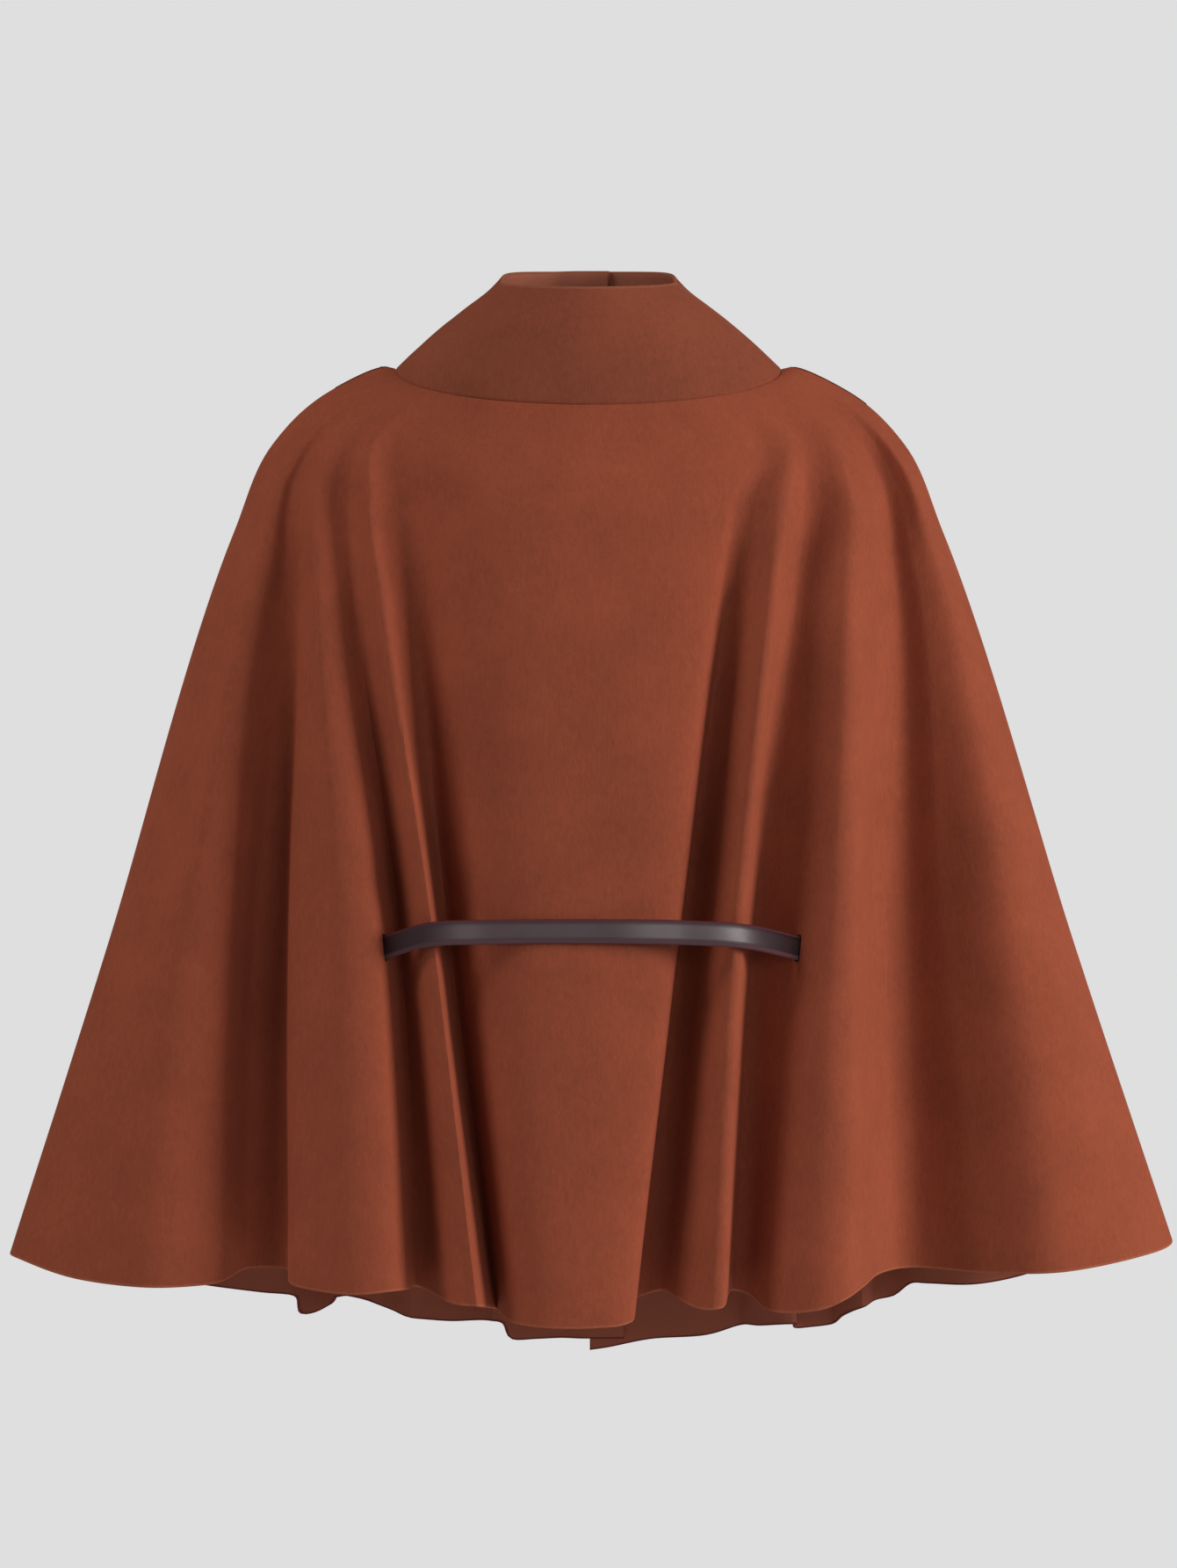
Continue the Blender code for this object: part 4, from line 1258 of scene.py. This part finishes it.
def punch_holes(strap, belt):
    """Punches the hole that the prong goes through and the plain ones along the tail."""
    cut_with(strap, rod("prong_hole", PRONG_ROUTE, belt.prong_radius + HOLE_GAP * MM))
    points, _ = route_points(BELT_ROUTE, STRAP_STEP)
    tail = points[-TAIL_POINTS:]
    for x in TAIL_HOLES:
        middle = tail[np.argmin(np.abs(tail[:, 0] - x))] * MM
        punch = added(
            bpy.ops.mesh.primitive_cylinder_add,
            vertices=20, radius=TAIL_HOLE_RADIUS * MM, depth=PUNCH_WALLS * belt.wall,
            location=middle + np.array((0.0, belt.wall / 2, 0.0)), rotation=(math.radians(90), 0.0, 0.0),
        )
        cut_with(strap, punch)


class JACKET_OT_belt(bpy.types.Operator):
    """Models the strap along its route, with its creased face, painted edges and punched tail"""

    bl_idname = "jacket.belt"
    bl_label = "Belt"

    def execute(self, context):
        belt = context.scene.jacket_belt
        points, _ = route_points(BELT_ROUTE, STRAP_STEP)
        section = [(point.out, point.high) for point in STRAP_SECTION]
        strap = loft_strap("belt_strap", points, section, belt)
        painted = np.array([point.painted for point in STRAP_SECTION])
        mark_faces(strap, "painted_edge", painted[section_stretch(strap, len(section))])
        punch_holes(strap, belt)
        material = leather_material("satin_leather", tuple(belt.colour), belt)
        finish_piece(strap, material, "belt_leather", "belt")
        return {"FINISHED"}


def select_faces(obj, wanted):
    """Selects the faces that a test on the face picks, ready for edit mode."""
    bpy.context.tool_settings.mesh_select_mode = (False, False, True)
    for kind in (obj.data.vertices, obj.data.edges, obj.data.polygons):
        for item in kind:
            item.select = False
    for face in obj.data.polygons:
        face.select = wanted(face)


def open_frame(obj, axis, border):
    """Turns a box into a frame: its two faces along an axis are inset and joined by a hole."""
    select_faces(obj, lambda face: abs(face.normal[axis]) > OPENING_FACING)
    bpy.ops.object.mode_set(mode="EDIT")
    bpy.ops.mesh.inset(thickness=border, use_individual=True)
    bpy.ops.mesh.bridge_edge_loops()
    bpy.ops.mesh.select_all(action="SELECT")
    bpy.ops.mesh.normals_make_consistent(inside=False)
    bpy.ops.object.mode_set(mode="OBJECT")


def round_edges(obj, width, segments):
    bevel = obj.modifiers.new("rounding", "BEVEL")
    bevel.width = width
    bevel.segments = segments
    bevel.limit_method = "ANGLE"
    bevel.angle_limit = math.radians(ROUNDED_DEGREES)
    apply_modifiers(obj)


def box(name, middle, size):
    """A box of a size in metres round a point in millimetres, with its scale applied."""
    place = [part * MM for part in middle]
    made = added(bpy.ops.mesh.primitive_cube_add, size=1.0, location=place, scale=size)
    made.name = name
    bpy.ops.object.transform_apply(location=False, rotation=False, scale=True)
    return made


def place_for_good(obj):
    work_on(obj)
    bpy.ops.object.transform_apply(location=True, rotation=True, scale=True)


class JACKET_OT_keeper(bpy.types.Operator):
    """Models the leather loop that holds the strap's tail"""

    bl_idname = "jacket.keeper"
    bl_label = "Keeper"

    def execute(self, context):
        belt = context.scene.jacket_belt
        inner_y = BUCKLED_Y - KEEPER_GAP
        outer_y = TAIL_Y + millimetres(belt.wall) + 2 * KEEPER_GAP
        wall = millimetres(belt.keeper_wall)
        middle = (KEEPER_X, (inner_y + outer_y) / 2, BUCKLED_Z)
        deep = (outer_y - inner_y + 2 * wall) * MM
        tall = belt.width + 2 * (KEEPER_GAP + wall) * MM
        keeper = box("belt_keeper_loop", middle, (belt.keeper_long, deep, tall))
        open_frame(keeper, 0, belt.keeper_wall)
        round_edges(keeper, belt.keeper_wall * KEEPER_ROUNDING, segments=3)
        place_for_good(keeper)
        painted = [float(abs(face.normal.x) > PAINTED_FACING) for face in keeper.data.polygons]
        mark_faces(keeper, "painted_edge", painted)
        finish_piece(keeper, bpy.data.materials["satin_leather"], "belt_leather", "belt_keeper")
        return {"FINISHED"}


def prong_eye(belt):
    """The ring that holds the prong on the tilted frame's heel bar."""
    heel = Vector(BUCKLE_MIDDLE) * MM
    reach = (belt.buckle_long - belt.buckle_bar) / 2
    heel.x -= reach * math.cos(belt.buckle_tilt)
    heel.y -= reach * math.sin(belt.buckle_tilt)
    eye = added(
        bpy.ops.mesh.primitive_torus_add, location=heel, major_segments=32, minor_segments=12,
        major_radius=belt.buckle_bar / 2 + belt.prong_radius * EYE_RING,
        minor_radius=belt.prong_radius * EYE_WIRE,
    )
    eye.scale = EYE_STRETCH
    place_for_good(eye)
    return eye


class JACKET_OT_buckle(bpy.types.Operator):
    """Models the buckle's frame and its prong, laid through the strap's hole"""

    bl_idname = "jacket.buckle"
    bl_label = "Buckle"

    def execute(self, context):
        belt = context.scene.jacket_belt
        buckle = box("buckle_frame", BUCKLE_MIDDLE, (belt.buckle_long, belt.buckle_thick, belt.buckle_tall))
        open_frame(buckle, 1, belt.buckle_bar)
        round_edges(buckle, belt.buckle_thick * BUCKLE_ROUNDING, segments=4)
        buckle.rotation_euler.z = belt.buckle_tilt
        place_for_good(buckle)
        prong = rod("buckle_prong", PRONG_ROUTE, belt.prong_radius)
        eye = prong_eye(belt)
        work_on(buckle)
        for part in (prong, eye):
            part.select_set(True)
        bpy.ops.object.join()
        material = metal_material("satin_metal", tuple(belt.metal_colour))
        finish_piece(buckle, material, "buckle_metal", "belt_buckle")
        return {"FINISHED"}


def make_camera():
    """A level camera at the height of the jacket's middle, looking at its back."""
    data = bpy.data.cameras.new("camera")
    data.sensor_width = SENSOR_WIDTH
    data.lens = SENSOR_WIDTH * CAMERA_DISTANCE / VIEW_HEIGHT
    camera = bpy.data.objects.new("camera", data)
    camera.location = (0.0, -CAMERA_DISTANCE, CAMERA_Z)
    camera.rotation_euler = (math.radians(90), 0.0, 0.0)
    bpy.context.scene.collection.objects.link(camera)
    bpy.context.scene.camera = camera


def add_soft_box(soft_box, stage):
    """A square light aimed at the jacket from an angle to the camera's right and above it."""
    turn = math.radians(soft_box.turn)
    rise = math.radians(soft_box.rise)
    direction = Vector((math.sin(turn) * math.cos(rise), -math.cos(turn) * math.cos(rise), math.sin(rise)))
    data = bpy.data.lights.new(soft_box.name, "AREA")
    data.size = stage.box_size
    data.energy = soft_box.watts * stage.light
    light = bpy.data.objects.new(soft_box.name, data)
    light.location = Vector(AIM) + direction * stage.box_distance
    light.rotation_euler = direction.to_track_quat("Z", "Y").to_euler()
    light.visible_diffuse = soft_box.lights
    light.visible_glossy = soft_box.shines
    bpy.context.scene.collection.objects.link(light)


def make_world(stage):
    """A flat grey backdrop that lights the jacket less than it shows."""
    world = bpy.data.worlds.new("backdrop")
    bpy.context.scene.world = world
    world.use_nodes = True
    nodes = world.node_tree.nodes
    links = world.node_tree.links
    shown = nodes["Background"]
    shown.inputs["Color"].default_value = (stage.grey, stage.grey, stage.grey, 1.0)
    lighting = nodes.new("ShaderNodeBackground")
    lighting.inputs["Color"].default_value = (stage.fill, stage.fill, stage.fill, 1.0)
    path = nodes.new("ShaderNodeLightPath")
    either = nodes.new("ShaderNodeMixShader")
    links.new(path.outputs["Is Camera Ray"], either.inputs["Fac"])
    links.new(lighting.outputs["Background"], either.inputs[1])
    links.new(shown.outputs["Background"], either.inputs[2])
    links.new(either.outputs["Shader"], nodes["World Output"].inputs["Surface"])


def make_floor(stage):
    """A pale round floor far below the jacket, which fades into the backdrop."""
    floor = added(
        bpy.ops.mesh.primitive_circle_add,
        vertices=96, radius=FLOOR_RADIUS, fill_type="NGON", location=(0.0, 0.0, -stage.floor_drop),
    )
    floor.name = "floor"
    graph = Graph("floor")
    own = graph.node("ShaderNodeTexCoord", output="Object")
    radius = graph.node("ShaderNodeVectorMath", {"operation": "LENGTH"}, {0: own}, output="Value")
    near, far = FLOOR_FADE
    fade = graph.soft_step(radius, near, far, 1.0, 0.0)
    graph.set(Base_Color=(0.8, 0.8, 0.8, 1.0), Roughness=0.9, Alpha=fade)
    floor.data.materials.append(graph.material)


class JACKET_OT_stage(bpy.types.Operator):
    """Sets the camera, the lights, the backdrop and the floor"""

    bl_idname = "jacket.stage"
    bl_label = "Stage"

    def execute(self, context):
        stage = context.scene.jacket_stage
        context.scene.view_settings.view_transform = "Standard"
        make_camera()
        make_world(stage)
        make_floor(stage)
        for soft_box in SOFT_BOXES:
            add_soft_box(soft_box, stage)
        return {"FINISHED"}


class JACKET_PT_pieces(bpy.types.Panel):
    """The pieces of the jacket and their settings"""

    bl_idname = "JACKET_PT_pieces"
    bl_label = "Cape jacket"
    bl_space_type = "VIEW_3D"
    bl_region_type = "UI"
    bl_category = "Cape jacket"

    def draw(self, context):
        for operator in OPERATORS:
            self.layout.operator(operator.bl_idname)
        for name, _ in SETTINGS:
            group = getattr(context.scene, name)
            for key in group.bl_rna.properties.keys():
                if key not in ("rna_type", "name"):
                    self.layout.prop(group, key)


SETTINGS = (
    ("jacket_cloth", ClothSettings),
    ("jacket_belt", BeltSettings),
    ("jacket_stage", StageSettings),
)
OPERATORS = (
    JACKET_OT_back,
    JACKET_OT_fronts,
    JACKET_OT_collar,
    JACKET_OT_belt,
    JACKET_OT_keeper,
    JACKET_OT_buckle,
    JACKET_OT_stage,
)


def register():
    for name, group in SETTINGS:
        bpy.utils.register_class(group)
        setattr(bpy.types.Scene, name, bpy.props.PointerProperty(type=group))
    for operator in OPERATORS:
        bpy.utils.register_class(operator)
    bpy.utils.register_class(JACKET_PT_pieces)


def unregister():
    bpy.utils.unregister_class(JACKET_PT_pieces)
    for operator in reversed(OPERATORS):
        bpy.utils.unregister_class(operator)
    for name, group in reversed(SETTINGS):
        delattr(bpy.types.Scene, name)
        bpy.utils.unregister_class(group)


def main():
    register()
    bpy.ops.jacket.back()
    bpy.ops.jacket.fronts()
    bpy.ops.jacket.collar()
    bpy.ops.jacket.belt()
    bpy.ops.jacket.keeper()
    bpy.ops.jacket.buckle()
    bpy.ops.jacket.stage()


if __name__ == "__main__":
    main()
